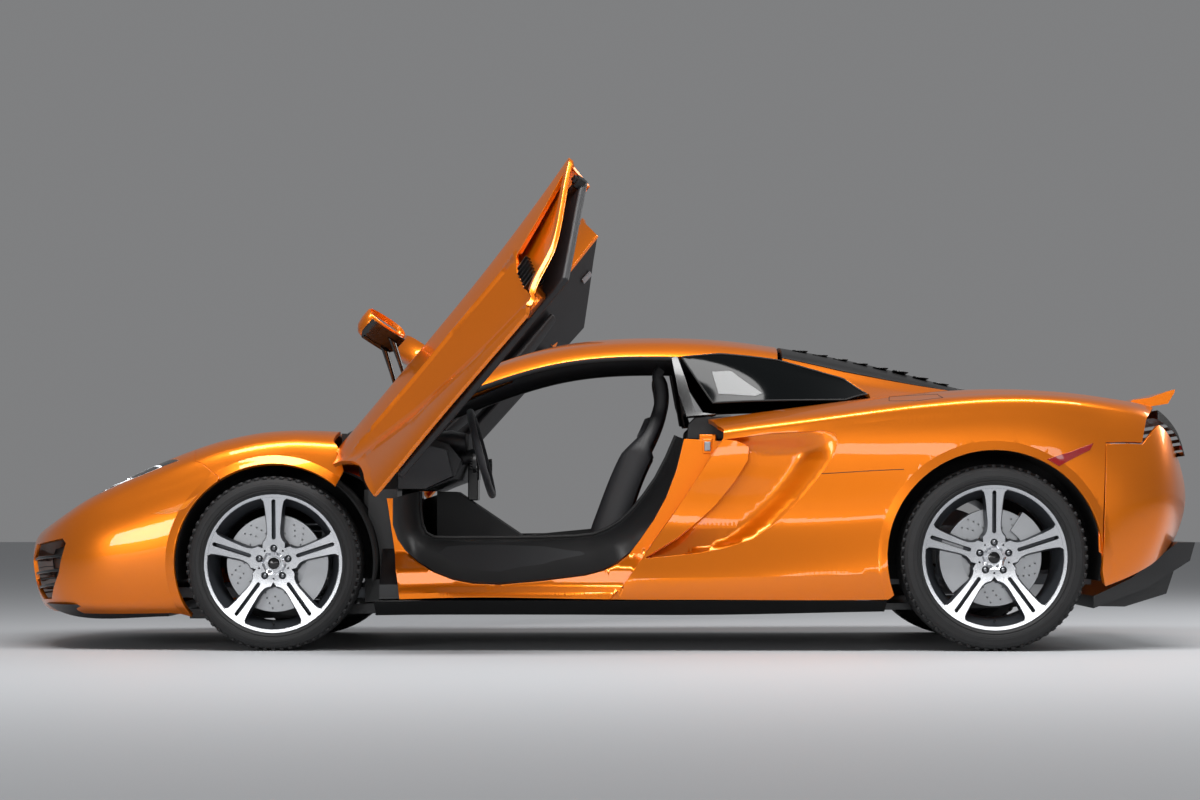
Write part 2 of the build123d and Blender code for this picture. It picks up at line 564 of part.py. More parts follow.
front_frame = front_frame + block(-2030, -1990, -RAIL_Y1, RAIL_Y1, FRONT_TYRE_R - 140, FRONT_TYRE_R - 100)
front_frame = front_frame + block(-1790, -1750, -RAIL_Y1, RAIL_Y1, FRONT_TYRE_R - 140, 300 - PART_GAP)
rear_frame = rear_frame + block(760, 820, -RAIL_Y1, RAIL_Y1, REAR_TYRE_R - 110, 270 - PART_GAP)
rear_frame = rear_frame + block(1100, 1160, -RAIL_Y1, RAIL_Y1, REAR_TYRE_R - 110, 270 - PART_GAP)
rear_frame = rear_frame + block(1800, 1840, -RAIL_Y1, RAIL_Y1, REAR_TYRE_R - 110, REAR_TYRE_R - 70)
add("front_frame", front_frame)
add("rear_frame", rear_frame)

# steering wheel: ring, hub and three spokes, square to the column
plane = Plane(origin=WHEEL_CENTRE, x_dir=(0, 1, 0), z_dir=COLUMN_AXIS)
ring = plane * Torus(166, 14)
hub = plane * Pos(0, 0, -8) * Cylinder(52, 30)
steer = ring + hub
for angle in (0, 180, 270):
    steer = steer + plane * Rot(0, 0, angle) * Pos(100, 0, -4) * Box(128, 30, 12)
add("steering_wheel", steer)

# ---------------------------------------------------------------- wheels and suspension
HUB_FACE_Y = 872.0        # the wheel bolts up against this plane
DISC_T = 30.0
BOLT_CIRCLE_R = 56.0
DISC_R = 182.0
AXLE_SIZES = {
    "front": (FRONT_AXLE_X, FRONT_TYRE_R, FRONT_TYRE_W, FRONT_RIM_R, FRONT_TRACK / 2),
    "rear": (REAR_AXLE_X, REAR_TYRE_R, REAR_TYRE_W, REAR_RIM_R, REAR_TRACK / 2),
}


def turned(points, x, z):
    """Solid of revolution about a wheel's axle. Points are (radius, |Y|), on the left side."""
    face = make_face(Polyline([(x + r, -y, z) for r, y in points], close=True))
    return revolve(face, axis=Axis((x, 0, z), (0, 1, 0)), revolution_arc=360)


def wheel_pieces(axle_name):
    x, tyre_r, tyre_w, rim_r, centre_y = AXLE_SIZES[axle_name]
    inner, outer = centre_y - tyre_w / 2, centre_y + tyre_w / 2
    barrel_r = rim_r - 16
    tyre = turned([(rim_r, inner + 20), (rim_r + 9.5, inner + 20), (rim_r + 22, inner + 5),
                   (rim_r + 45, inner), (tyre_r - 26, inner + 5), (tyre_r - 7, inner + 18),
                   (tyre_r, inner + 40), (tyre_r, outer - 40), (tyre_r - 7, outer - 18),
                   (tyre_r - 26, outer - 5), (rim_r + 45, outer), (rim_r + 22, outer - 5),
                   (rim_r + 9.5, outer - 20), (rim_r, outer - 20)], x, tyre_r)
    lip = outer - 12
    rim = turned([(barrel_r, inner + 14), (rim_r + 8, inner + 8), (rim_r + 8, inner + 14),
                  (rim_r - 0.5, inner + 16), (rim_r - 0.5, lip - 6), (rim_r + 8, lip - 4), (rim_r + 8, lip),
                  (rim_r - 4, lip), (barrel_r, lip - 14)], x, tyre_r)
    rim = rim + drum(x, tyre_r, 76, -HUB_FACE_Y, -HUB_FACE_Y - 34)
    for i in range(SPOKE_COUNT):
        turn = Pos(x, 0, tyre_r) * Rot(0, 72 * i, 0)
        for lean in (-1, 1):
            spoke = [(lean * 10, 52), (lean * 30, barrel_r + 6), (lean * 52, barrel_r + 4), (lean * 36, 52)]
            face = make_face(Polyline([(u, -HUB_FACE_Y - 26, v) for u, v in spoke], close=True))
            rim = rim + turn * extrude(face, amount=26, dir=(0, -1, 0))
    rim = rim - drum(x, tyre_r, 33.5, -HUB_FACE_Y + 50, -HUB_FACE_Y - 20)
    disc = turned([(70, HUB_FACE_Y - 44), (DISC_R, HUB_FACE_Y - 44), (DISC_R, HUB_FACE_Y - 14),
                   (82, HUB_FACE_Y - 14), (82, HUB_FACE_Y), (33.5, HUB_FACE_Y), (33.5, HUB_FACE_Y - 8),
                   (70, HUB_FACE_Y - 8)], x, tyre_r)
    rim = rim + disc
    for i in range(5):
        angle = math.radians(90 + 72 * i)
        bx, bz = BOLT_CIRCLE_R * math.cos(angle), BOLT_CIRCLE_R * math.sin(angle)
        rim = rim - drum(x + bx, tyre_r + bz, 7.5, -HUB_FACE_Y + 20, -HUB_FACE_Y - 60)
    return tyre, rim


def caliper(x, z, centre_deg, span_deg):
    """Brake caliper that straddles the disc, as a ring segment."""
    body = turned([(118, HUB_FACE_Y - 82), (DISC_R + 18, HUB_FACE_Y - 82), (DISC_R + 18, HUB_FACE_Y + 16),
                   (118, HUB_FACE_Y + 16)], x, z)
    body = body - turned([(60, HUB_FACE_Y - 50), (DISC_R + 6, HUB_FACE_Y - 50), (DISC_R + 6, HUB_FACE_Y - 8),
                          (60, HUB_FACE_Y - 8)], x, z)
    a0, a1 = math.radians(centre_deg - span_deg / 2), math.radians(centre_deg + span_deg / 2)
    mid = math.radians(centre_deg)
    far = 400
    wedge = [(0, 0), (far * math.cos(a0), far * math.sin(a0)),
             (far * 1.3 * math.cos(mid), far * 1.3 * math.sin(mid)), (far * math.cos(a1), far * math.sin(a1))]
    return body & side_prism([(x + u, z + v) for u, v in wedge], -600, -1000)


KINGPIN_Y = 790.0
for axle_name in ("front", "rear"):
    tyre, rim = wheel_pieces(axle_name)
    for name, side in (("left", -1), ("right", 1)):
        PARTS[f"tyre_{axle_name}_{name}"] = keep_big(tyre if side < 0 else mirrored(tyre))
        PARTS[f"rim_{axle_name}_{name}"] = keep_big(rim if side < 0 else mirrored(rim))

STUB_R = 33.5 - PART_GAP
PIN_R = 14.0
ARM_LOW, ARM_HIGH = -120.0, 130.0      # heights of the front arms about the axle
front_brake = caliper(FRONT_AXLE_X, FRONT_TYRE_R, -16, 54)
knuckle = drum(FRONT_AXLE_X, FRONT_TYRE_R, 56, -HUB_FACE_Y + 52, -762)
knuckle = knuckle + drum(FRONT_AXLE_X, FRONT_TYRE_R, STUB_R, -HUB_FACE_Y + 60, -HUB_FACE_Y - 12)
knuckle = knuckle + block(FRONT_AXLE_X, FRONT_AXLE_X + 170, -HUB_FACE_Y + 76, -766, FRONT_TYRE_R - 20,
                          FRONT_TYRE_R + 40)
knuckle = knuckle + Pos(FRONT_AXLE_X, -KINGPIN_Y, FRONT_TYRE_R + 5) * Cylinder(PIN_R, 2 * 145)
front_knuckle = knuckle + front_brake
PARTS["front_knuckle_left"] = keep_big(front_knuckle)
PARTS["front_knuckle_right"] = keep_big(mirrored(front_knuckle))
arms = []
for z in (FRONT_TYRE_R + ARM_LOW, FRONT_TYRE_R + ARM_HIGH):
    eye = Pos(FRONT_AXLE_X, -KINGPIN_Y, z) * Cylinder(PIN_R + 10, 24)
    for end_x in (FRONT_AXLE_X - ARM_ENDS, FRONT_AXLE_X + ARM_ENDS):
        eye = eye + bar((FRONT_AXLE_X, -KINGPIN_Y + 18, z), (end_x, -RAIL_Y1 + 8, z), 11)
    eye = eye - block(-3000, 3000, -RAIL_Y1 - PART_GAP, 0, z - 40, z + 40)
    arms.append(eye - Pos(FRONT_AXLE_X, -KINGPIN_Y, z) * Cylinder(PIN_R + PART_GAP, 60))
add("front_wishbones", [piece for arm in arms for piece in both(arm)], 0.2)

rear_carrier = drum(REAR_AXLE_X, REAR_TYRE_R, 56, -HUB_FACE_Y + 52, -730)
rear_carrier = rear_carrier + drum(REAR_AXLE_X, REAR_TYRE_R, STUB_R, -HUB_FACE_Y + 60, -HUB_FACE_Y - 12)
rear_carrier = rear_carrier + block(REAR_AXLE_X - 170, REAR_AXLE_X, -HUB_FACE_Y + 76, -762, REAR_TYRE_R - 50,
                                    REAR_TYRE_R + 10)
rear_carrier = rear_carrier + block(REAR_AXLE_X, REAR_AXLE_X + 120, -HUB_FACE_Y + 76, -762, REAR_TYRE_R + 40,
                                    REAR_TYRE_R + 100)
rear_carrier = rear_carrier + block(REAR_AXLE_X - 20, REAR_AXLE_X + 60, -790, -730, REAR_TYRE_R - 100,
                                    REAR_TYRE_R + 120)
rear_carrier = rear_carrier + caliper(REAR_AXLE_X, REAR_TYRE_R, 190, 62)
rear_carrier = rear_carrier + caliper(REAR_AXLE_X, REAR_TYRE_R, 42, 30)
for z in (REAR_TYRE_R - 90, REAR_TYRE_R + 100):
    for end_x in (REAR_AXLE_X - ARM_ENDS, REAR_AXLE_X + ARM_ENDS):
        arm = bar((REAR_AXLE_X + 20, -740, z), (end_x, -RAIL_Y1 + 8, z), 13)
        rear_carrier = rear_carrier + (arm - block(-3000, 3000, -RAIL_Y1 - PART_GAP, 0, z - 40, z + 40))
add("rear_uprights", both(rear_carrier), 0.2)

os.makedirs("parts", exist_ok=True)
for name, solids in PARTS.items():
    export_step(Compound(solids) if len(solids) > 1 else solids[0], f"parts/{name}.step")
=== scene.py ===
"""Dresses the supercar's frame: body panels on one master surface, wheels, lamps, cabin and studio."""
import math

import bmesh
import bpy
import numpy as np
from mathutils import Matrix, Vector
from mathutils.geometry import delaunay_2d_cdt


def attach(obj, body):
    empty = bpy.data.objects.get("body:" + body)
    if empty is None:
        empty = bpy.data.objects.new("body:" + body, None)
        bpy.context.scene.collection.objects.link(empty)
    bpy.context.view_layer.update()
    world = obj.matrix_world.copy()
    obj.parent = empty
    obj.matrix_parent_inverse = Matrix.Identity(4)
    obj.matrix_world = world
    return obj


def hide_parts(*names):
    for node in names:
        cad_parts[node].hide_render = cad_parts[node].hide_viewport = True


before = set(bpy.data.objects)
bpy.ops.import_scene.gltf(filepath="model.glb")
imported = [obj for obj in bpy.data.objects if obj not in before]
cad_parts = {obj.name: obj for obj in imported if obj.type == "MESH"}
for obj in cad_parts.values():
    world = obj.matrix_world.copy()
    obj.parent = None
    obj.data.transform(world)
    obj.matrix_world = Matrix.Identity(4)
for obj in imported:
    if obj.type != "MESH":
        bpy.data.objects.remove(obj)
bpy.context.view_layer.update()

MM = 0.001
FRONT_AXLE = np.array((-1234.5, 0.0, 323.5))
REAR_AXLE = np.array((1435.5, 0.0, 345.5))
FRONT_ARCH_R, REAR_ARCH_R = 367.0, 398.0
LIP_H, LIP_W = 9.0, 34.0  # flared band round each wheel arch

# ---------------------------------------------------------------- curves and the master surface
# Columns run from the middle of the nose, round its corner, back along the side and round the tail.
# Each has its place along the car, then the points of floor edge, sill, widest line, shoulder, fender crest,
# valley, hood and spine.
def square_on(x, *points):
    """Column whose points all stand at one place along the car, from their (y, z)."""
    return (x,) + tuple((x, y, z) for y, z in points)


BODY_COLUMNS = [
    (-2760, (-2150, 0, 118), (-2215, 0, 160), (-2254, 0, 300), (-2250, 0, 385),
     (-2232, 0, 428), (-2190, 0, 462), (-2130, 0, 490), (-2060, 0, 515)),
    (-2560, (-2145, 210, 118), (-2210, 215, 160), (-2250, 220, 300), (-2246, 216, 388),
     (-2226, 206, 430), (-2182, 170, 464), (-2120, 100, 494), (-2050, 0, 519)),
    (-2360, (-2115, 430, 118), (-2180, 440, 162), (-2216, 452, 305), (-2210, 446, 395),
     (-2188, 420, 440), (-2140, 330, 478), (-2085, 180, 505), (-2020, 0, 530)),
    (-2180, (-2050, 620, 118), (-2110, 670, 168), (-2136, 700, 320), (-2124, 690, 425),
     (-2096, 630, 480), (-2056, 470, 508), (-2020, 260, 530), (-1960, 0, 556)),
    (-2000, (-1950, 735, 110), (-1985, 825, 178), (-1994, 858, 350), (-1985, 826, 490),
     (-1966, 740, 550), (-1940, 560, 572), (-1915, 300, 584), (-1870, 0, 594)),
    (-1800, (-1800, 790, 106), (-1800, 888, 190), (-1800, 914, 420), (-1800, 858, 580),
     (-1800, 745, 640), (-1798, 580, 636), (-1792, 300, 626), (-1780, 0, 632)),
    square_on(-1500, (815, 106), (915, 210), (945, 480), (884, 700),
              (768, 764), (604, 742), (310, 708), (0, 712)),
    square_on(-1234, (830, 110), (925, 230), (950, 520), (890, 758),
              (768, 816), (614, 792), (315, 752), (0, 754)),
    square_on(-950, (820, 125), (935, 190), (938, 480), (892, 752),
              (790, 808), (642, 812), (320, 792), (0, 792)),
    square_on(-600, (800, 130), (940, 190), (915, 470), (890, 750),
              (850, 787), (700, 802), (350, 800), (0, 800)),
    square_on(-100, (800, 130), (940, 190), (902, 480), (887, 766),
              (845, 802), (700, 816), (350, 815), (0, 815)),
    square_on(430, (800, 130), (938, 190), (908, 480), (905, 800),
              (860, 838), (730, 870), (365, 870), (0, 870)),
    square_on(900, (800, 140), (945, 190), (937, 500), (925, 860),
              (850, 902), (720, 930), (360, 930), (0, 930)),
    square_on(1436, (780, 150), (945, 200), (953, 540), (925, 915),
              (800, 958), (640, 978), (320, 984), (0, 986)),
    square_on(1850, (740, 200), (895, 250), (934, 540), (886, 893),
              (770, 940), (620, 952), (310, 956), (0, 957)),
    (2050, (2030, 640, 262), (2040, 790, 330), (2056, 872, 555), (2062, 806, 840),
     (2050, 700, 905), (2060, 560, 918), (2070, 280, 922), (2075, 0, 923)),
    (2240, (2110, 470, 330), (2140, 590, 390), (2168, 660, 560), (2150, 640, 740),
     (2120, 560, 860), (2100, 420, 900), (2092, 220, 916), (2090, 0, 920)),
    (2440, (2150, 230, 350), (2200, 300, 410), (2240, 330, 560), (2214, 320, 720),
     (2160, 270, 830), (2120, 210, 890), (2100, 110, 914), (2096, 0, 921)),
    (2640, (2160, 0, 355), (2215, 0, 412), (2254, 0, 560), (2226, 0, 716),
     (2170, 0, 825), (2126, 0, 888), (2104, 0, 914), (2098, 0, 922)),
]

# Greenhouse: columns at their x, then (y, z) of belt, rail foot, rail top, roof edge and spine.
CABIN_COLUMNS = [
    (-1060, (650, 768), (610, 772), (545, 776), (272, 778), (0, 778)),
    (-800, (722, 815), (672, 868), (604, 905), (300, 928), (0, 934)),
    (-500, (746, 830), (664, 985), (594, 1040), (296, 1068), (0, 1076)),
    (-200, (755, 840), (648, 1075), (572, 1130), (286, 1162), (0, 1170)),
    (150, (760, 860), (642, 1105), (562, 1162), (281, 1194), (0, 1199)),
    (450, (757, 885), (630, 1090), (551, 1150), (276, 1184), (0, 1190)),
    (760, (744, 905), (602, 1035), (521, 1105), (260, 1140), (0, 1148)),
    (1100, (720, 925), (562, 975), (471, 1036), (235, 1070), (0, 1078)),
    (1520, (664, 930), (522, 940), (421, 948), (210, 952), (0, 953)),
]


def natural_spline(knots, values):
    """Cubic spline through values (n, d) at knots, as a function of many parameters."""
    knots, values = np.asarray(knots, float), np.asarray(values, float)
    n = len(knots)
    step = np.diff(knots)
    matrix, right = np.zeros((n, n)), np.zeros((n, values.shape[1]))
    matrix[0, 0] = matrix[-1, -1] = 1.0
    for i in range(1, n - 1):
        matrix[i, i - 1:i + 2] = step[i - 1], 2 * (step[i - 1] + step[i]), step[i]
        right[i] = 6 * ((values[i + 1] - values[i]) / step[i] - (values[i] - values[i - 1]) / step[i - 1])
    bend = np.linalg.solve(matrix, right)

    def at(t):
        """Points of the curve at parameters t."""
        t = np.asarray(t, float)
        i = np.clip(np.searchsorted(knots, t) - 1, 0, n - 2)
        h = step[i][:, None]
        a, b = (knots[i + 1] - t)[:, None] / h, (t - knots[i])[:, None] / h
        return (a * values[i] + b * values[i + 1]
                + ((a ** 3 - a) * bend[i] + (b ** 3 - b) * bend[i + 1]) * h * h / 6)
    return at


def unit(vectors):
    """The same vectors at length one."""
    return vectors / np.maximum(np.linalg.norm(vectors, axis=1, keepdims=True), 1e-9)


class Skin:
    """Smooth surface through rows and columns of points: t runs along the car, s from row to row."""
    NET = (500, 120)          # points along and across that a search starts from
    ROUNDS = 12               # steps that a search takes
    REACH = (60, 0.3)         # longest step of a search along and across

    def __init__(self, ts, grid, relief=None):
        """Keeps one curve for each row, and a fine net of points for finding places."""
        self.ts = np.asarray(ts, float)
        grid = np.asarray(grid, float)
        self.rows = grid.shape[1]
        self.row_curves = [natural_spline(self.ts, grid[:, r]) for r in range(self.rows)]
        self.relief = relief
        t, s = np.meshgrid(np.linspace(self.ts[0], self.ts[-1], self.NET[0]),
                           np.linspace(0, self.rows - 1, self.NET[1]))
        self.guess_ts = np.stack((t.ravel(), s.ravel()), 1)
        self.guess_xyz = self.base(self.guess_ts)

    def base(self, ts):
        """Points of the plain surface at parameters (t, s): a Hermite curve across the rows' curves."""
        t, s = ts[:, 0], np.clip(ts[:, 1], 0, self.rows - 1)
        points = np.stack([curve(t) for curve in self.row_curves], 1)
        i = np.clip(s.astype(int), 0, self.rows - 2)
        u = (s - i)[:, None]
        pick = lambda k: points[np.arange(len(t)), np.clip(k, 0, self.rows - 1)]
        p0, p1, p2, p3 = pick(i - 1), pick(i), pick(i + 1), pick(i + 2)
        ends = np.linalg.norm(p2 - p1, axis=1, keepdims=True)
        before = np.linalg.norm(p1 - p0, axis=1, keepdims=True)
        after = np.linalg.norm(p3 - p2, axis=1, keepdims=True)
        m1 = (p2 - p0) * ends / np.maximum(before + ends, 1e-6)
        m2 = (p3 - p1) * ends / np.maximum(after + ends, 1e-6)
        last = (i >= self.rows - 2)[:, None]
        level = (p2 - p1) * np.array((0.0, 1.0, 0.0))      # the surface crosses the car's middle level
        m2 = np.where(last, level, m2)
        first = (i == 0)[:, None]
        m1 = np.where(first, p2 - p1, m1)
        u2, u3 = u * u, u * u * u
        return ((2 * u3 - 3 * u2 + 1) * p1 + (u3 - 2 * u2 + u) * m1
                + (-2 * u3 + 3 * u2) * p2 + (u3 - u2) * m2)

    def frame_at(self, ts, surface=None):
        """Outward normals at parameters (t, s) of this surface, or of another one over them."""
        surface = surface or self.base
        along, across = np.array(((1.0, 0.0), (0.0, 0.004)))
        dt = surface(ts + along) - surface(ts - along)
        ds = surface(ts + across) - surface(ts - across)
        return unit(np.cross(ds, dt))

    def at(self, ts):
        """Points with the relief pressed in along the plain surface's normal."""
        ts = np.asarray(ts, float)
        points = self.base(ts)
        if self.relief is None:
            return points
        depth = self.relief(points)
        return points + self.frame_at(ts) * depth[:, None]

    def find(self, target, axes, near=None):
        """Parameters of the surface point that has these coordinates in a side or plan view."""
        view = self.guess_xyz[:, axes]
        score = ((view - target) ** 2).sum(1)
        if near is not None:
            score = np.where(near(self.guess_xyz, self.guess_ts), score, np.inf)
        ts = self.guess_ts[[int(np.argmin(score))]]
        reach = np.array(self.REACH)
        for _ in range(self.ROUNDS):
            p = self.base(ts)[0, axes]
            dt = (self.base(ts + (1.0, 0))[0, axes] - p) * 100
            ds = (self.base(ts + (0, 0.002))[0, axes] - p) / 0.002
            step = np.linalg.lstsq(np.stack((dt, ds), 1), target - p, rcond=0.01)[0] * (100, 1)
            ts = ts + np.clip(step, -reach, reach)
            ts[:, 0] = np.clip(ts[:, 0], self.ts[0], self.ts[-1])
            ts[:, 1] = np.clip(ts[:, 1], 0, self.rows - 1)
        return ts[0]


# Feature lines of the flank in a side view, (x, z).
DOOR_UPPER = ((-941, 566), (-630, 608), (-320, 634), (20, 632), (45, 640))
DOOR_VALLEY = ((-938, 535), (-620, 502), (-335, 473), (-17, 452), (45, 446))
DOOR_LOWER = ((-936, 513), (-590, 343), (-237, 250), (3, 222), (45, 218))
DOOR_REACH = ((-941, 0), (-800, 18), (-600, 42), (-200, 68), (45, 78))      # (x, depth) of the valley
DOOR_SCALLOP_X = (-941.0, 60.0)
CREST_LINES = (((-2120, 486), (-1870, 590), (-1583, 684), (-1442, 734), (-1300, 770), (-1160, 782),
                (-1030, 776)),
               ((425, 825), (850, 893), (1225, 932), (1460, 936), (1880, 916)))
QUARTER_SILL = ((60, 264), (500, 274), (940, 286), (1030, 290))
RIDGE = 13.0                    # half width of the fine ridge on a door fold
UPPER_RIDGE_H, VALLEY_RIDGE_H, LOWER_RIDGE_H = 7.0, 4.0, 6.0
CREST_H, CREST_W = 5.0, 60.0    # soft fold along the fenders' tops
SILL_H, SILL_UP, SILL_DOWN = 12.0, 190.0, 120.0


def on_line(line, x):
    """Height of a feature line at x."""
    return np.interp(x, [p[0] for p in line], [p[1] for p in line])


def ramp(x, low, high):
    """Smooth step from 0 at low to 1 at high."""
    u = np.clip((x - low) / (high - low), 0, 1)
    return u * u * (3 - 2 * u)


def side_relief(points):
    """Outward push of the skin: arch lips, door scallop, shoulder creases and sill crease."""
    x, y, z = points[:, 0], points[:, 1], points[:, 2]
    outer = np.clip((y - 600) / 120, 0, 1)
    depth = np.zeros(len(points))
    for axle, radius in ((FRONT_AXLE, FRONT_ARCH_R), (REAR_AXLE, REAR_ARCH_R)):
        away = np.hypot(x - axle[0], z - axle[2]) - radius
        depth += LIP_H * outer * np.clip(1 - away / LIP_W, 0, 1) * (away > -60)
    upper, valley, lower = on_line(DOOR_UPPER, x), on_line(DOOR_VALLEY, x), on_line(DOOR_LOWER, x)
    above = (upper - z) / np.maximum(upper - valley, 1)
    below = (z - lower) / np.maximum(valley - lower, 1)
    on_door = (x > DOOR_SCALLOP_X[0]) & (x < DOOR_SCALLOP_X[1])
    depth -= on_line(DOOR_REACH, x) * np.clip(np.where(z > valley, above, below), 0, 1) * on_door * outer
    along = ramp(x, -930, -780) * (x < DOOR_SCALLOP_X[1]) * outer
    for line, height in ((upper, UPPER_RIDGE_H), (valley, VALLEY_RIDGE_H), (lower, LOWER_RIDGE_H)):
        depth += height * along * np.clip(1 - np.abs(z - line) / RIDGE, 0, 1)
    for line in CREST_LINES:
        start, end = line[0][0], line[-1][0]
        along = ramp(x, start - 40, start + 160) * (1 - ramp(x, end - 160, end + 40))
        depth += CREST_H * along * np.clip(1 - np.abs(z - on_line(line, x)) / CREST_W, 0, 1) * (y > 520)
    sill = on_line(QUARTER_SILL, x)
    along = ramp(x, 0, 120) * (1 - ramp(x, 1010, 1060))
    width = np.where(z > sill, SILL_UP, SILL_DOWN)
    depth += SILL_H * along * outer * np.clip(1 - np.abs(z - sill) / width, 0, 1)
    return depth


body = Skin([c[0] for c in BODY_COLUMNS], [c[1:] for c in BODY_COLUMNS], side_relief)
cabin = Skin([c[0] for c in CABIN_COLUMNS], [[(c[0], y, z) for y, z in c[1:]] for c in CABIN_COLUMNS])


# ---------------------------------------------------------------- outlines and panels
S_UNIT = 170.0            # one row of the surface, in millimetres, for even meshing
SPINE_ROW = 6.999         # just short of the last row, at the middle of the car
BOTH = (1, -1)            # the car's right side and its mirror image, as one piece
SIDES = (("left", -1), ("right", 1))
LOADED_AT_ONCE = 4000     # points of a fill that are measured together
KEPT_CLEAR = 0.55         # share of the spacing that a fill keeps free along its lines
MIDDLE_REACH = 0.6        # points nearer the car's middle than this lie on it


def arc(centre, radius, start_deg, end_deg, steps=24):
    """Points of an arc in a side view, (x, z)."""
    angles = np.radians(np.linspace(start_deg, end_deg, steps))
    return [(centre[0] + radius * math.cos(a), centre[-1] + radius * math.sin(a)) for a in angles]


def side(skin, points, low=0.0, high=5.0):
    """Surface parameters of side view points (x, z), on the flank between two rows."""
    near = lambda xyz, ts: (ts[:, 1] >= low) & (ts[:, 1] <= high)
    return [tuple(skin.find(np.array(p, float), [0, 2], near)) for p in points]


def plan(skin, points, low=2.0):
    """Surface parameters of plan view points (x, y), on the upper rows."""
    near = lambda xyz, ts: ts[:, 1] >= low
    return [tuple(skin.find(np.array(p, float), [0, 1], near)) for p in points]


def dense(outline, step, closed=True):
    """The same outline with points at most a step apart."""
    result = []
    points = [np.array(p, float) for p in outline]
    pairs = list(zip(points, points[1:] + points[:1])) if closed else list(zip(points, points[1:]))
    for a, b in pairs:
        length = math.hypot(b[0] - a[0], (b[1] - a[1]) * S_UNIT)
        count = max(1, int(round(length / step)))
        result += [a + (b - a) * i / count for i in range(count)]
    if not closed:
        result.append(points[-1])
    return np.array(result)


def inside(points, polygon):
    """Which points lie in a polygon."""
    x, y = points[:, 0][:, None], points[:, 1][:, None]
    x0, y0 = polygon[:, 0][None], polygon[:, 1][None]
    x1, y1 = np.roll(x0, -1, 1), np.roll(y0, -1, 1)
    crosses = (y0 > y) != (y1 > y)
    with np.errstate(divide="ignore", invalid="ignore"):
        at_x = x0 + (y - y0) * (x1 - x0) / (y1 - y0)
    return (crosses & (x < at_x)).sum(1) % 2 == 1


def signed_area(polygon):
    """Area of a polygon, positive when it runs anticlockwise."""
    x, y = polygon[:, 0], polygon[:, 1]
    return 0.5 * float(np.sum(x * np.roll(y, -1) - np.roll(x, -1) * y))


def fill(outline, holes, creases, spacing):
    """Flat triangles between an outline and its holes. Gives vertices, triangles and border loops."""
    loops = [outline] + list(holes)
    flat = [loop * (1.0, S_UNIT) for loop in loops]
    low, high = flat[0].min(0), flat[0].max(0)
    xs = np.arange(low[0] + spacing / 2, high[0], spacing)
    ys = np.arange(low[1] + spacing / 2, high[1], spacing)
    gx, gy = np.meshgrid(xs, ys)
    gx = gx + (np.arange(len(ys)) % 2)[:, None] * spacing / 2
    grid = np.stack((gx.ravel(), gy.ravel()), 1)
    keep = inside(grid, flat[0])
    for hole in flat[1:]:
        keep &= ~inside(grid, hole)
    grid = grid[keep]
    lines = flat + [c * (1.0, S_UNIT) for c in creases]
    for line in lines:
        for start in range(0, len(grid), LOADED_AT_ONCE):
            part = grid[start:start + LOADED_AT_ONCE]
            gap = np.sqrt(((part[:, None] - line[None]) ** 2).sum(2)).min(1)
            part[gap < spacing * KEPT_CLEAR] = np.nan
        grid = grid[~np.isnan(grid[:, 0])]
    verts, edges, spans = [], [], []
    for loop in flat:
        base = len(verts)
        verts += [tuple(p) for p in loop]
        edges += [(base + i, base + (i + 1) % len(loop)) for i in range(len(loop))]
        spans.append(range(base, base + len(loop)))
    for crease in creases:
        base = len(verts)
        line = crease * (1.0, S_UNIT)
        verts += [tuple(p) for p in line]
        edges += [(base + i, base + i + 1) for i in range(len(line) - 1)]
    verts += [tuple(p) for p in grid]
    out, _, faces, origin, _, _ = delaunay_2d_cdt([Vector(v) for v in verts], edges, [], 0, 1e-4)
    out = np.array([tuple(v) for v in out])
    faces = np.array([tuple(f) for f in faces if len(f) == 3])
    centres = out[faces].mean(1)
    keep = inside(centres, flat[0])
    for hole in flat[1:]:
        keep &= ~inside(centres, hole)
    faces = faces[keep]
    place = {}
    for new, olds in enumerate(origin):
        for old in olds:
            place[old] = new
    borders = [[place[i] for i in span] for span in spans]
    return out / (1.0, S_UNIT), faces, borders


def new_object(name, data):
    """Object that shows a mesh, a light or a camera, linked to the scene."""
    obj = bpy.data.objects.new(name, data)
    bpy.context.scene.collection.objects.link(obj)
    return obj


def make_mesh(name, verts, faces, corners=None, material=None):
    """Object from arrays in millimetres, smooth, with given normals at the corners of its faces."""
    mesh = bpy.data.meshes.new(name)
    verts = np.asarray(verts, float) * MM
    mesh.from_pydata([tuple(v) for v in verts], [], [tuple(int(i) for i in f) for f in faces])
    mesh.polygons.foreach_set("use_smooth", [True] * len(mesh.polygons))
    if corners is not None:
        mesh.normals_split_custom_set(corners)
    if material:
        mesh.materials.append(material)
    return new_object(name, mesh)


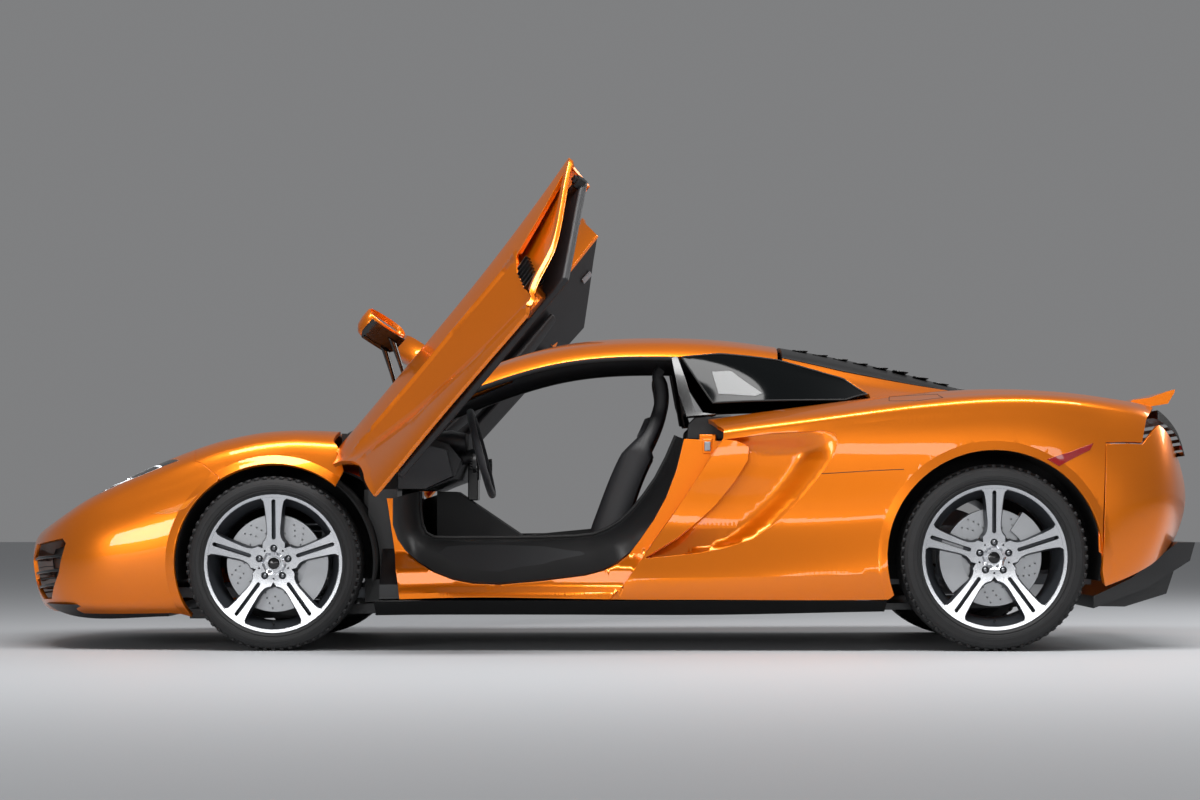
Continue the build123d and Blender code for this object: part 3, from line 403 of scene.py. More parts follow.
def skin_patch(skin, outline, holes=(), creases=(), spacing=16.0, step=9.0, gap=1.6, depth=16.0, flange=10.0,
               warp=None):
    """Patch of the surface with rounded, turned-in edges. Gives arrays for the car's right side.

    The warp takes the surface's place where the patch lies over or under it. The gap is cut off all
    round, then the edge turns in by the depth and back under the patch by the flange.
    """
    surface = warp or skin.at
    rings = [dense(outline, step)] + [dense(h, step) for h in holes]
    folds = [dense(c, step, closed=False) for c in creases]
    uv, faces, borders = fill(rings[0], rings[1:], folds, spacing)
    points = surface(uv)
    normals = skin.frame_at(uv, surface)
    tri = points[faces]
    up = np.cross(tri[:, 1] - tri[:, 0], tri[:, 2] - tri[:, 0])
    flip = (up * normals[faces[:, 0]]).sum(1) < 0
    faces[flip] = faces[flip][:, ::-1]
    verts, norms, polys = [points], [normals], [tuple(f) for f in faces]
    centres = uv[faces].mean(1)
    turned = [skin.frame_at(0.8 * uv[faces[:, k]] + 0.2 * centres, surface) for k in range(3)]
    corner_norms = [tuple(turned[k][i] for k in range(3)) for i in range(len(faces))]
    total = len(points)
    for k, border in enumerate(borders):
        loop = uv[border]
        turn = signed_area(loop * (1.0, S_UNIT))
        p, n = points[border], normals[border]
        tangent = np.roll(p, -1, 0) - np.roll(p, 1, 0)
        out = unit(np.cross(tangent, n))
        edge = np.roll(loop, -1, 0) - np.roll(loop, 1, 0)
        way = 1 if (turn > 0) == (k == 0) else -1
        outward = np.stack((edge[:, 1], -edge[:, 0] / S_UNIT ** 2), 1) * way
        size = np.maximum(np.hypot(outward[:, 0], outward[:, 1] * S_UNIT), 1e-9)[:, None]
        beyond = np.clip(loop + outward / size * 2.0, (skin.ts[0], 0), (skin.ts[-1], skin.rows - 1))
        if float(((surface(beyond) - p) * out).sum()) < 0:
            out = -out
        # how far each ring stands out and in, and how its normal leans out and up
        profile = [(0.9 - gap, 0.4, 0.6, 0.8), (1.4 - gap, 1.4, 1.0, 0.15),
                   (1.4 - gap, depth, 1.0, 0.0), (1.4 - gap - flange, depth, 0.0, -1.0)]
        ids = [np.array(border)]
        points[border] = p - out * gap
        for push, drop, lean_out, lean_up in profile:
            verts.append(p + out * push - n * drop)
            norms.append(unit(out * lean_out + n * lean_up))
            ids.append(np.arange(total, total + len(border)))
            total += len(border)
        middle = np.abs(p[:, 1]) < MIDDLE_REACH
        count = len(border)
        for a, b in zip(ids, ids[1:]):
            for i in range(count):
                j = (i + 1) % count
                if middle[i] and middle[j]:
                    continue
                polys.append((int(a[i]), int(a[j]), int(b[j]), int(b[i])))
        points[np.array(border)[middle], 1] = 0.0
    verts, norms = np.concatenate(verts), np.concatenate(norms)
    corner_norms += [tuple(norms[i] for i in poly) for poly in polys[len(corner_norms):]]
    fixed, fixed_norms = [], []
    for poly, corner in zip(polys, corner_norms):
        q = verts[list(poly)]
        face_normal = np.cross(q[1] - q[0], q[2] - q[0])
        if float((face_normal * norms[list(poly)].mean(0)).sum()) < 0:
            poly, corner = tuple(reversed(poly)), tuple(reversed(corner))
        fixed.append(poly)
        fixed_norms.append(corner)
    return verts, fixed_norms, fixed


def add_patch(name, patch, sides, material, rider, nodes=(), move=None):
    """Object of a patch on the right side (+1), its mirror image on the left (-1), or both of them."""
    verts, corners, polys = patch
    all_verts, all_corners, all_polys = [], [], []
    for sign in sides:
        base = sum(len(v) for v in all_verts)
        flip = np.array((1.0, sign, 1.0))
        v = verts * flip
        n = np.array([c for corner in corners for c in (corner if sign > 0 else corner[::-1])]) * flip
        if move is not None:
            v, n = move(v, sign), move(n, sign, True)
        all_verts.append(v)
        all_corners += [tuple(c) for c in n]
        all_polys += [tuple(base + i for i in (p if sign > 0 else reversed(p))) for p in polys]
    obj = make_mesh(name, np.concatenate(all_verts), all_polys, all_corners, material)
    dress(obj, rider, nodes)
    return obj


def dress(obj, rider, nodes=()):
    """Say what a piece rides on, and hide the parts that it stands for."""
    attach(obj, rider)
    if nodes:
        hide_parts(*nodes)
    return obj


# ---------------------------------------------------------------- materials
def srgb(code):
    """Linear colour of an sRGB hex code."""
    parts = [int(code[i:i + 2], 16) / 255 for i in (0, 2, 4)]
    return tuple(c / 12.92 if c <= 0.04045 else ((c + 0.055) / 1.055) ** 2.4 for c in parts) + (1.0,)


def add(tree, kind, links=(), **values):
    """New node with its inputs set by name, and links from (socket, node, output)."""
    made = tree.nodes.new(kind)
    for key, value in values.items():
        if key in made.inputs:
            made.inputs[key].default_value = value
        else:
            setattr(made, key, value)
    for socket, source, output in links:
        tree.links.new(source.outputs[output], made.inputs[socket])
    return made


def finish_of(name, colour, rough=0.5, metal=0.0, coat=0.0, coat_rough=0.03, second=None, mix_scale=6.0,
              bump=None, rough_spread=0.0, **extra):
    """Principled material; a second colour and a bump come from noise in object coordinates."""
    mat = bpy.data.materials.new(name)
    mat.use_nodes = True
    tree = mat.node_tree
    shader = tree.nodes["Principled BSDF"]
    shader.inputs["Base Color"].default_value = srgb(colour)
    shader.inputs["Roughness"].default_value = rough
    shader.inputs["Metallic"].default_value = metal
    shader.inputs["Coat Weight"].default_value = coat
    shader.inputs["Coat Roughness"].default_value = coat_rough
    for key, value in extra.items():
        shader.inputs[key.replace("_", " ")].default_value = value
    place = add(tree, "ShaderNodeTexCoord")
    if second:
        cloud = add(tree, "ShaderNodeTexNoise", [("Vector", place, "Object")], Scale=mix_scale, Detail=4.0)
        blend = add(tree, "ShaderNodeMix", [("Factor", cloud, "Fac")], data_type="RGBA")
        blend.inputs[6].default_value = srgb(colour)
        blend.inputs[7].default_value = srgb(second)
        tree.links.new(blend.outputs[2], shader.inputs["Base Color"])
    if rough_spread:
        smear = add(tree, "ShaderNodeTexNoise", [("Vector", place, "Object")], Scale=9.0, Detail=5.0)
        span = add(tree, "ShaderNodeMapRange", [("Value", smear, "Fac")])
        span.inputs["To Min"].default_value = max(rough - rough_spread, 0.0)
        span.inputs["To Max"].default_value = rough + rough_spread
        tree.links.new(span.outputs[0], shader.inputs["Roughness"])
    if bump:
        kind, scale, strength, distance = bump
        if kind == "noise":
            grain = add(tree, "ShaderNodeTexNoise", [("Vector", place, "Object")], Scale=scale, Detail=3.0)
            output = "Fac"
        else:
            grain = add(tree, "ShaderNodeTexVoronoi", [("Vector", place, "Object")], Scale=scale)
            output = "Distance"
        raised = add(tree, "ShaderNodeBump", [("Height", grain, output)], Strength=strength,
                     Distance=distance)
        tree.links.new(raised.outputs[0], shader.inputs["Normal"])
    return mat


# orange lacquer: a metal flake base under clear coat; the panels turn from bright to deep orange
paint = finish_of("orange_lacquer", "F58400", rough=0.32, metal=0.75, coat=0.7, coat_rough=0.02,
                  second="EB7300", mix_scale=900.0)
# gloss black plastic: crisp small reflections in the mirrors' feet, grilles and louvres
black_gloss = finish_of("gloss_black_plastic", "0A0A0B", rough=0.2, coat=0.25, rough_spread=0.03)
# satin black moulding: a fine grain that keeps trim and intakes dark without shine
black_satin = finish_of("satin_black_plastic", "161617", rough=0.45, rough_spread=0.06,
                        bump=("noise", 900.0, 0.15, 0.0004))
# satin carbon fibre: a quiet mottle of two blacks on tub, splitter and diffuser
carbon = finish_of("satin_carbon", "121315", rough=0.35, coat=0.3, second="1C1D20", mix_scale=240.0)
# tinted glass: lets the cabin show dark behind a clean reflection
tint = finish_of("tinted_glass", "20282A", rough=0.03, Transmission_Weight=0.85, IOR=1.45)
# black printed glass: the quarter pane reads as one black surface
black_glass = finish_of("black_glass", "07090A", rough=0.06, Specular_IOR_Level=0.18)
# road rubber: dull charcoal, mottled, so the sidewall rings show
tyre_rubber = finish_of("tyre_rubber", "1A1A1B", rough=0.72, second="222223", mix_scale=40.0,
                        bump=("noise", 500.0, 0.2, 0.0006), rough_spread=0.08)
# diamond cut alloy: bright turned faces of spokes and rim
wheel_silver = finish_of("diamond_cut_alloy", "D2D4D8", rough=0.22, metal=0.95, coat=0.4, rough_spread=0.04)
# dark grey with painted shade: the spoke walls, barrel, hub back and slot floors are painted darker than the
# silver face to stand in for the shade in the wheel's recesses, giving the spokes their depth
wheel_shade_grey = finish_of("rim_painted_shade_grey", "4A4D52", rough=0.4, metal=0.7, second="43464B", mix_scale=60.0)
# machined iron: the brake disc's streaky grey between the spokes
disc_iron = finish_of("machined_iron", "A3A5A8", rough=0.34, metal=0.9, rough_spread=0.08)
# silver grey caliper paint: slightly rough castings
caliper_grey = finish_of("silver_grey_caliper", "A9ABAE", rough=0.35, metal=0.5, coat=0.4,
                         bump=("noise", 300.0, 0.1, 0.0005))
# bare steel: bolts, latch and tail pipes
steel = finish_of("bare_steel", "8E9094", rough=0.3, metal=1.0, rough_spread=0.08)
# black leather: a fine pebble on dashboard, doors and seat edges
leather = finish_of("black_leather", "17171A", rough=0.5, second="1D1D20", mix_scale=30.0,
                    bump=("voronoi", 420.0, 0.35, 0.0008), rough_spread=0.06)
# grey microfibre: the seats' channels, soft and without shine
suede = finish_of("grey_microfibre", "26262A", rough=0.9, second="303035", mix_scale=80.0,
                  bump=("noise", 1500.0, 0.4, 0.0006), Sheen_Weight=0.3)
# headliner cloth: the mid grey roof over the cabin
lining = finish_of("headliner_cloth", "3A3B3E", rough=0.95, bump=("noise", 1200.0, 0.3, 0.0006))

# ---------------------------------------------------------------- body panels
BONNET_EDGE = [(-2040, 330), (-1890, 480), (-1500, 590), (-1010, 640)]
NOSE_T, TAIL_T = -2760.0, 2640.0
bonnet_side = plan(body, BONNET_EDGE)
bonnet_front_t = float(body.find(np.array((-2046.0, 0.0)), [0, 1], lambda xyz, ts: ts[:, 1] > 6.5)[0])
nose_gap = side(body, [(-1534, 700), (-1437, 641)])
gap_on_bonnet = tuple(plan(body, [(-1560, 573)])[0])
front_arch_low = side(body, arc(FRONT_AXLE, FRONT_ARCH_R, 212, 124, 14), high=3.5)
bumper_outline = ([(NOSE_T, 0.45), (NOSE_T, SPINE_ROW), (bonnet_front_t, SPINE_ROW)]
                  + bonnet_side[:2] + [gap_on_bonnet] + nose_gap + front_arch_low[::-1]
                  + [(-1622, 0.35), (-1800, 0.35), (-2180, 0.4), (-2560, 0.45)])
LAMP = [(-2013, 540), (-1908, 580), (-1736, 652), (-1600, 705), (-1665, 722), (-1795, 690), (-1885, 650),
        (-1990, 580)]
lamp_hole = side(body, LAMP)
intake_hole = side(body, [(-2185, 392), (-2040, 416), (-2024, 397), (-2055, 284), (-2098, 186), (-2150, 182),
                          (-2205, 250), (-2215, 330)], low=0.3, high=3.2)
front_lip = side(body, arc(FRONT_AXLE, FRONT_ARCH_R + LIP_W, 205, 128, 16), high=3.6)
low_crease = side(body, [(-1996, 262), (-1960, 212), (-1900, 203), (-1640, 210)], high=3)
add_patch("front_bumper_skin", skin_patch(body, bumper_outline, holes=[lamp_hole, intake_hole],
                                          creases=[front_lip, low_crease]),
          BOTH, paint, "chassis", ["front_bumper"])

fender_arch = side(body, arc(FRONT_AXLE, FRONT_ARCH_R, 123, 51, 14), high=3.5)
fender_rear = side(body, [(-975, 667), (-1018, 780)], high=4.2)
fender_outline = ([gap_on_bonnet] + bonnet_side[2:] + plan(body, [(-1004, 738)]) + fender_rear[::-1]
                  + fender_arch[::-1] + nose_gap[::-1])
fender_lip = side(body, arc(FRONT_AXLE, FRONT_ARCH_R + LIP_W, 116, 54, 12), high=4.2)
fender_crest = side(body, [(-1400, 745), (-1300, 770), (-1160, 782), (-1060, 778)], low=3.0)
fender = skin_patch(body, fender_outline, creases=[fender_lip, fender_crest])
for label, sign in SIDES:
    add_patch(f"front_fender_{label}_skin", fender, (sign,), paint, "chassis", [f"front_fender_{label}"])

bonnet_outline = [(bonnet_front_t, SPINE_ROW)] + bonnet_side + [(-1010.0, SPINE_ROW)]
add_patch("bonnet_skin", skin_patch(body, bonnet_outline), BOTH, paint, "bonnet", ["bonnet"])

door_edge = side(body, [(-1012, 782), (-969, 667), (-992, 613)] + arc(FRONT_AXLE, FRONT_ARCH_R + 6, 50, -6, 9)
                 + [(-860, 189), (10, 189), (422, 785)], high=4.3)
door_belt = plan(body, [(366, 743), (100, 744), (-300, 744), (-700, 744), (-960, 744)])
rear_corner = body.find(np.array((418.0, 888.0)), [0, 1], lambda xyz, ts: (ts[:, 1] > 3.2) & (ts[:, 1] < 4.5))
door_outline = door_edge + [tuple(rear_corner)] + door_belt
HINGE_POINT = np.array((-954.0, -850.0, 752.0))
HINGE_AXIS = np.array((-0.679, -0.510, -0.528))
DOOR_OPEN = math.radians(71.2)


def open_door(points, sign, direction=False):
    """Swing a shut door's points, or directions, to the open place it is shown in."""
    mirror_y = np.array((1.0, -sign, 1.0))
    turn = np.array(Matrix.Rotation(DOOR_OPEN, 3, Vector(HINGE_AXIS)))
    local = points * mirror_y
    if direction:
        return (local @ turn.T) * mirror_y
    return ((local - HINGE_POINT) @ turn.T + HINGE_POINT) * mirror_y


channel = [(12, 222), (2, 400), (0, 510), (14, 580), (48, 628), (120, 652), (378, 750), (322, 668), (42, 262)]
channel_hole = side(body, channel, high=3.9)
door_folds = []
for line in (DOOR_UPPER, DOOR_VALLEY, DOOR_LOWER):
    for offset in (-RIDGE, 0.0, RIDGE):
        fold = [(x, float(on_line(line, x)) + offset) for x in (-780, -700, -620, -480, -335, -180, -70, -26)]
        door_folds.append(side(body, fold, high=3.9))
door = skin_patch(body, door_outline, holes=[channel_hole], creases=door_folds)
for label, sign in SIDES:
    add_patch(f"door_{label}_outer", door, (sign,), paint, f"door_{label}", [f"door_{label}_skin"],
              move=open_door)

rear_arch = side(body, arc(REAR_AXLE, REAR_ARCH_R, 200, -14, 30), high=3.6)
quarter_front = side(body, [(17, 191), (434, 789)], high=3.5)
quarter_outline = (quarter_front + plan(body, [(436, 894)], low=3.2) + plan(body, [(380, 746), (985, 720)])
                   + plan(body, [(1120, 472), (2076, 472)]) + [(2080, 4.3)]
                   + side(body, [(1990, 772)], high=4) + side(body, [(1850, 772), (1832, 420)], high=4)
                   + rear_arch[::-1][2:] + side(body, [(1040, 191)], high=2))
SCALLOP = [(440, 783), (620, 806), (806, 815), (846, 806), (856, 778), (842, 722), (796, 656), (721, 564),
           (615, 466), (544, 416), (438, 382), (332, 360), (146, 342), (150, 347), (215, 388), (262, 416),
           (332, 473), (403, 536), (473, 622), (526, 706), (530, 756), (484, 778)]
scallop_hole = side(body, SCALLOP, high=4.0)
rear_lip = side(body, arc(REAR_AXLE, REAR_ARCH_R + LIP_W, 196, -8, 30), high=4.0)
quarter_folds = [rear_lip,
                 side(body, [(470, 828), (850, 893), (1225, 932), (1460, 936), (1800, 920)], low=3.0),
                 side(body, [(90, 266), (500, 274), (940, 286)], high=2)]
quarter = skin_patch(body, quarter_outline, holes=[scallop_hole], creases=quarter_folds)
for label, sign in SIDES:
    add_patch(f"rear_quarter_{label}_skin", quarter, (sign,), paint, "chassis", [f"rear_quarter_{label}"])

tail_outline = ([(TAIL_T, 1.0), (TAIL_T, 3.1), (2440, 3.15), (2240, 3.2), (2050, 3.0)]
                + side(body, [(1990, 766), (1850, 766), (1838, 420), (1830, 300)], high=4)
                + [(1850, 0.9), (2050, 0.9), (2240, 1.0)])
add_patch("rear_bumper_skin", skin_patch(body, tail_outline), BOTH, paint, "chassis", ["rear_bumper"])


def offset_skin(skin, height):
    """The skin's surface moved out by a height, or in by a negative one."""
    return lambda ts: skin.at(ts) + skin.frame_at(ts) * height


def sunk(depth_at):
    """The body surface pushed in by a depth that depends on the place."""
    def surface(ts):
        """Points of the sunk surface at parameters (t, s)."""
        base = body.base(ts)
        return body.at(ts) - body.frame_at(ts) * depth_at(base)[:, None]
    return surface


def scallop_depth(p):
    """Deep behind the front plate's edge, rising to the rear rim of the scoop."""
    x, z = p[:, 0], p[:, 2]
    rear = np.interp(z, (340, 382, 416, 466, 564, 656, 722, 778, 815),
                     (146, 438, 544, 615, 721, 796, 842, 858, 850))
    front = np.interp(z, (340, 388, 416, 473, 536, 622, 706, 778), (140, 215, 262, 332, 403, 473, 526, 500))
    u = (x - front) / np.maximum(rear - front, 30)
    roof = ramp(z, 740, 812)
    deep = 62 * (1 - ramp(u, 0.55, 1.02)) * (1 - 0.75 * roof) + 4
    return np.where(u > 1.0, 3.0, deep)


def channel_depth(p):
    """Air channel behind the door's blade, level with the shut line at its rear."""
    x, z = p[:, 0], p[:, 2]
    shut = np.interp(z, (189, 789), (13, 430))
    return 20 + 24 * np.clip((shut - 30 - x) / 230, 0, 1) ** 0.7


scoop_outline = [(450, 800), (620, 818), (806, 824), (856, 814), (868, 780), (852, 716), (804, 648),
                 (728, 556), (620, 456), (548, 404), (438, 370), (332, 348), (120, 330), (180, 392),
                 (300, 488), (380, 590), (440, 690), (450, 760)]
scoop_bowl = skin_patch(body, side(body, scoop_outline, high=4.2), warp=sunk(scallop_depth), depth=4,
                        flange=2)
add_patch("side_scoop_floor", scoop_bowl, BOTH, paint, "chassis", ["side_intakes"])
channel_outline = [(-26, 208), (-38, 400), (-44, 540), (-34, 640), (20, 720), (120, 752), (300, 782),
                   (404, 784), (336, 664), (44, 240)]
channel_bowl = skin_patch(body, side(body, channel_outline, high=4.0), warp=sunk(channel_depth), depth=4,
                          flange=2)
for label, sign in SIDES:
    add_patch(f"door_{label}_channel", channel_bowl, (sign,), paint, f"door_{label}", [],
              move=open_door)

# Roof, screen, quarter panes, engine cover and rear deck. Their outlines are surface parameters.
roof_outline = [(-392, 4), (-392, 3), (-420, 2.1), (-985, 2.0), (-985, 1.25), (-860, 1.0), (-440, 1.0),
                (270, 1.0), (430, 1.35), (650, 1.5), (655, 4)]
add_patch("roof_skin", skin_patch(cabin, roof_outline), BOTH, paint, "chassis", ["roof"])
screen_outline = [(-400, 4), (-400, 3), (-428, 2.12), (-980, 2.02), (-985, 4)]
add_patch("windscreen_pane", skin_patch(cabin, screen_outline, depth=5, flange=2), BOTH, tint, "chassis",
          ["windscreen"])
quarter_pane = [(284, 0.98), (430, 1.3), (650, 1.45), (900, 1.2), (985, 0.6), (900, 0.25), (400, 0.2)]
add_patch("quarter_pane", skin_patch(cabin, quarter_pane, depth=5, flange=2), BOTH, black_glass, "chassis",
          ["quarter_glass"])
deck_outline = [(668, 4), (668, 1.66), (900, 1.6), (1200, 1.66), (1476, 1.78), (1476, 4)]
add_patch("engine_cover_skin", skin_patch(cabin, deck_outline), BOTH, black_satin, "chassis",
          ["engine_cover"])
buttress = [(668, 1.62), (900, 1.56), (1200, 1.62), (1480, 1.74), (1506, 0.9), (1500, 0.12), (1000, 0.1),
            (994, 0.62), (908, 1.23), (668, 1.48)]
add_patch("rear_buttresses", skin_patch(cabin, buttress), BOTH, paint, "chassis", [])
rear_deck = plan(body, [(1484, 466), (1962, 466)])
rear_deck = [(rear_deck[0][0], SPINE_ROW)] + rear_deck + [(rear_deck[1][0], SPINE_ROW)]
vent_hole = plan(body, [(1560, 330), (1640, 360), (1860, 360), (1930, 300), (1930, 60), (1560, 60)])
add_patch("rear_deck", skin_patch(body, rear_deck, holes=[vent_hole], gap=2.5), BOTH, paint, "chassis", [])
mesh_floor = plan(body, [(1540, 372), (1950, 372), (1950, 40), (1540, 40)])
add_patch("rear_deck_vents", skin_patch(body, mesh_floor, warp=offset_skin(body, -22), depth=3, flange=2),
          BOTH, black_satin, "chassis", [])


# ---------------------------------------------------------------- builders for parts off the skin
NO_BAR_WAY = (0.3, 0.2, 0.93)      # a direction that no round bar runs along


def combine(parts):
    """One mesh's arrays from several (verts, faces)."""
    verts, faces, base = [], [], 0
    for v, f in parts:
        v = np.asarray(v, float)
        verts.append(v)
        faces += [tuple(base + int(i) for i in q) for q in f]
        base += len(v)
    return np.concatenate(verts), faces


def lathe(profile, steps=96):
    """Surface of revolution about the Y axis from (radius, y) points."""
    angles = np.linspace(0, 2 * math.pi, steps, endpoint=False)
    profile = np.asarray(profile, float)
    verts = np.concatenate([np.stack((r * np.cos(angles), np.full(steps, y), r * np.sin(angles)), 1)
                            for r, y in profile])
    faces = []
    for k in range(len(profile) - 1):
        a, b = k * steps, (k + 1) * steps
        faces += [(a + i, a + (i + 1) % steps, b + (i + 1) % steps, b + i) for i in range(steps)]
    return verts, faces


def prism(outline, low, high, to_space=lambda u, v, w: (u, w, v), taper=0.0):
    """Closed prism of a flat outline (u, v) between two heights w; it stands across the car by default."""
    outline = np.asarray(outline, float)
    middle = outline.mean(0)
    top = middle + (outline - middle) * (1 - taper)
    verts = [to_space(u, v, low) for u, v in outline] + [to_space(u, v, high) for u, v in top]
    n = len(outline)
    faces = [tuple(range(n))[::-1], tuple(range(n, 2 * n))]
    faces += [(i, (i + 1) % n, n + (i + 1) % n, n + i) for i in range(n)]
    return np.array(verts, float), faces


def tube(path, radius, steps=12, closed=False):
    """Round bar along a path, with flat ends."""
    path = np.asarray(path, float)
    ahead = np.roll(path, -1, 0) - np.roll(path, 1, 0)
    if not closed:
        ahead[0], ahead[-1] = path[1] - path[0], path[-1] - path[-2]
    ahead = unit(ahead)
    side_way = unit(np.cross(ahead, NO_BAR_WAY))
    up_way = np.cross(side_way, ahead)
    radii = np.broadcast_to(radius, len(path))
    angles = np.linspace(0, 2 * math.pi, steps, endpoint=False)
    c, s = np.cos(angles)[:, None], np.sin(angles)[:, None]
    verts = np.concatenate([path[i] + radii[i] * (c * side_way[i] + s * up_way[i]) for i in range(len(path))])
    faces = []
    for k in range(len(path) if closed else len(path) - 1):
        a, b = k * steps, (k + 1) % len(path) * steps
        faces += [(a + i, a + (i + 1) % steps, b + (i + 1) % steps, b + i) for i in range(steps)]
    if not closed:
        faces += [tuple(range(steps))[::-1], tuple(range(len(verts) - steps, len(verts)))]
    return verts, faces


def slab(low, high):
    """Box between two corners."""
    (x0, y0, z0), (x1, y1, z1) = low, high
    return prism([(x0, y0), (x1, y0), (x1, y1), (x0, y1)], z0, z1, lambda u, v, w: (u, v, w))


def placed(parts, at, sign):
    """Arrays of solid parts moved to a place on the car's right side, or mirrored to its left."""
    verts, faces = combine(parts)
    verts = (verts + np.array(at)) * (1.0, sign, 1.0)
    if sign < 0:
        faces = [tuple(reversed(f)) for f in faces]
    return verts, faces


def face_out(obj):
    """Turn the faces of an object's closed solids outward."""
    mesh = bmesh.new()
    mesh.from_mesh(obj.data)
    bmesh.ops.recalc_face_normals(mesh, faces=mesh.faces)
    mesh.to_mesh(obj.data)
    mesh.free()


def round_edges(obj, width, segments=2, degrees=35.0):
    """Round the edges that are sharper than an angle, by a width in millimetres."""
    edges = obj.modifiers.new("edges", "BEVEL")
    edges.width, edges.segments, edges.limit_method = width * MM, segments, "ANGLE"
    edges.angle_limit = math.radians(degrees)
    edges.harden_normals = True


def recoat(obj, material):
    """Give an object one material in place of those it has."""
    obj.data.materials.clear()
    obj.data.materials.append(material)


def add_solid(name, parts, material, rider, nodes=(), sign=1, move=None, bevel=0.0, smooth=35.0,
              segments=2, at=(0.0, 0.0, 0.0)):
    """Object from solid parts for the car's right side (sign +1) or mirrored to the left (-1)."""
    verts, faces = placed(parts, at, sign)
    if move is not None:
        verts = move(verts, sign)
    obj = make_mesh(name, verts, faces, material=material)
    face_out(obj)
    if bevel:
        round_edges(obj, bevel, segments, smooth)
    obj.data.set_sharp_from_angle(angle=math.radians(smooth))
    return dress(obj, rider, nodes)


def pierced(outline, holes, height, walls, spacing, step):
    """Dished face with holes, raised by a height function, and the walls of its holes as separate parts.

    Each hole's wall leans in by a draft and drops by a depth; a hole with None stays open.
    """
    scale = np.array((1.0, 1.0 / S_UNIT))
    rings = [dense(np.asarray(ring, float) * scale, step) for ring in (outline, *holes)]
    uv, faces, borders = fill(rings[0], rings[1:], [], spacing)
    uv = uv / scale
    top = np.stack((uv[:, 0], height(uv), uv[:, 1]), 1)
    face = (top, [tuple(f) for f in faces])
    wall_parts = []
    for border, wall in zip(borders[1:], walls):
        if wall is None:
            continue
        draft, drop = wall
        loop = uv[border]
        middle = loop.mean(0)
        ahead = np.roll(loop, -1, 0) - np.roll(loop, 1, 0)
        into = unit(np.stack((-ahead[:, 1], ahead[:, 0]), 1))
        if float((into * (middle - loop)).sum()) < 0:
            into = -into
        low = loop + into * draft
        base = height(loop)
        ring = np.stack((low[:, 0], base - drop, low[:, 1]), 1)
        rim = np.stack((loop[:, 0], base, loop[:, 1]), 1)
        n = len(border)
        wall_parts.append((np.concatenate((rim, ring)),
                           [(i, (i + 1) % n, n + (i + 1) % n, n + i) for i in range(n)]))
    return face, wall_parts


def ring_of(radius, centre=(0.0, 0.0), steps=32):
    """Closed circle in a flat outline."""
    return [(centre[0] + radius * math.cos(a), centre[1] + radius * math.sin(a))
            for a in np.linspace(0, 2 * math.pi, steps, endpoint=False)]


def repeat_piece(seed, name, count, turn_deg, pivot, axis, material, rider, step=(0.0, 0.0, 0.0)):
    """Instances of a seed mesh, each turned and shifted from the one before, made real by geometry nodes."""
    tree = bpy.data.node_groups.new(name, "GeometryNodeTree")
    tree.interface.new_socket("Geometry", in_out="INPUT", socket_type="NodeSocketGeometry")
    tree.interface.new_socket("Geometry", in_out="OUTPUT", socket_type="NodeSocketGeometry")
    for label, kind, value in (("Count", "Int", count), ("Turn", "Float", math.radians(turn_deg)),
                               ("Step", "Vector", step), ("Pivot", "Vector", pivot), ("Axis", "Vector", axis),
                               ("Finish", "Material", material)):
        socket = tree.interface.new_socket(label, in_out="INPUT", socket_type=f"NodeSocket{kind}")
        socket.default_value = value
    entry = add(tree, "NodeGroupInput")
    leave = add(tree, "NodeGroupOutput")
    index = add(tree, "GeometryNodeInputIndex")
    shift = add(tree, "ShaderNodeVectorMath", [("Vector", entry, "Step")], operation="SCALE")
    tree.links.new(index.outputs[0], shift.inputs["Scale"])
    points = add(tree, "GeometryNodePoints", [("Count", entry, "Count")])
    tree.links.new(shift.outputs[0], points.inputs["Position"])
    copies = add(tree, "GeometryNodeInstanceOnPoints",
                 [("Points", points, "Points"), ("Instance", entry, "Geometry")])
    angle = add(tree, "ShaderNodeMath", [(0, index, 0), (1, entry, "Turn")], operation="MULTIPLY")
    spin = add(tree, "FunctionNodeAxisAngleToRotation", [("Axis", entry, "Axis"), ("Angle", angle, 0)])
    start = add(tree, "ShaderNodeVectorRotate", [("Center", entry, "Pivot"), ("Axis", entry, "Axis"),
                                                 ("Angle", angle, 0)])
    turned = add(tree, "GeometryNodeRotateInstances", [("Instances", copies, 0), ("Rotation", spin, 0)])
    place = add(tree, "GeometryNodeTranslateInstances", [("Instances", turned, 0), ("Translation", start, 0)])
    place.inputs["Local Space"].default_value = False
    real = add(tree, "GeometryNodeRealizeInstances", [("Geometry", place, 0)])
    finish = add(tree, "GeometryNodeSetMaterial", [("Geometry", real, 0), ("Material", entry, "Finish")])
    tree.links.new(finish.outputs[0], leave.inputs[0])
    made = seed.modifiers.new(name, "NODES")
    made.node_group = tree
    bpy.context.view_layer.update()
    mesh = bpy.data.meshes.new_from_object(seed.evaluated_get(bpy.context.evaluated_depsgraph_get()))
    obj = new_object(name, mesh)
    bpy.data.objects.remove(seed)
    return dress(obj, rider, ())


def seed_of(parts, sign=1, at=(0.0, 0.0, 0.0)):
    """Loose object that a repeat or a swelling pad starts from."""
    obj = make_mesh("seed", *placed(parts, at, sign))
    face_out(obj)
    return obj


# ---------------------------------------------------------------- wheels
SPOKES, TREAD_BLOCKS = 5, 64
# Radius and half width of a twin spoke, and radii of the face, for the front wheel.
SPOKE_HALF = ((240, 47), (232, 38), (215, 33.5), (190, 30), (160, 27), (130, 24), (110, 24), (95, 27),
              (84, 33), (76, 41))
LIP_R, FACE_R, WINDOW_APEX, SLOT_R0, SLOT_R1, SLOT_HALF = 259.0, 245.0, 69.0, 88.0, 238.0, 7.5
BOLT_R, CAP_R, DISC_R = 56.0, 22.0, 182.0
HUB_Y = 872.0
# bronze brown lacquer: the warm hub seen behind the spokes
bronze = finish_of("bronze_brown_hub", "5A4632", rough=0.42, metal=0.8, rough_spread=0.06)


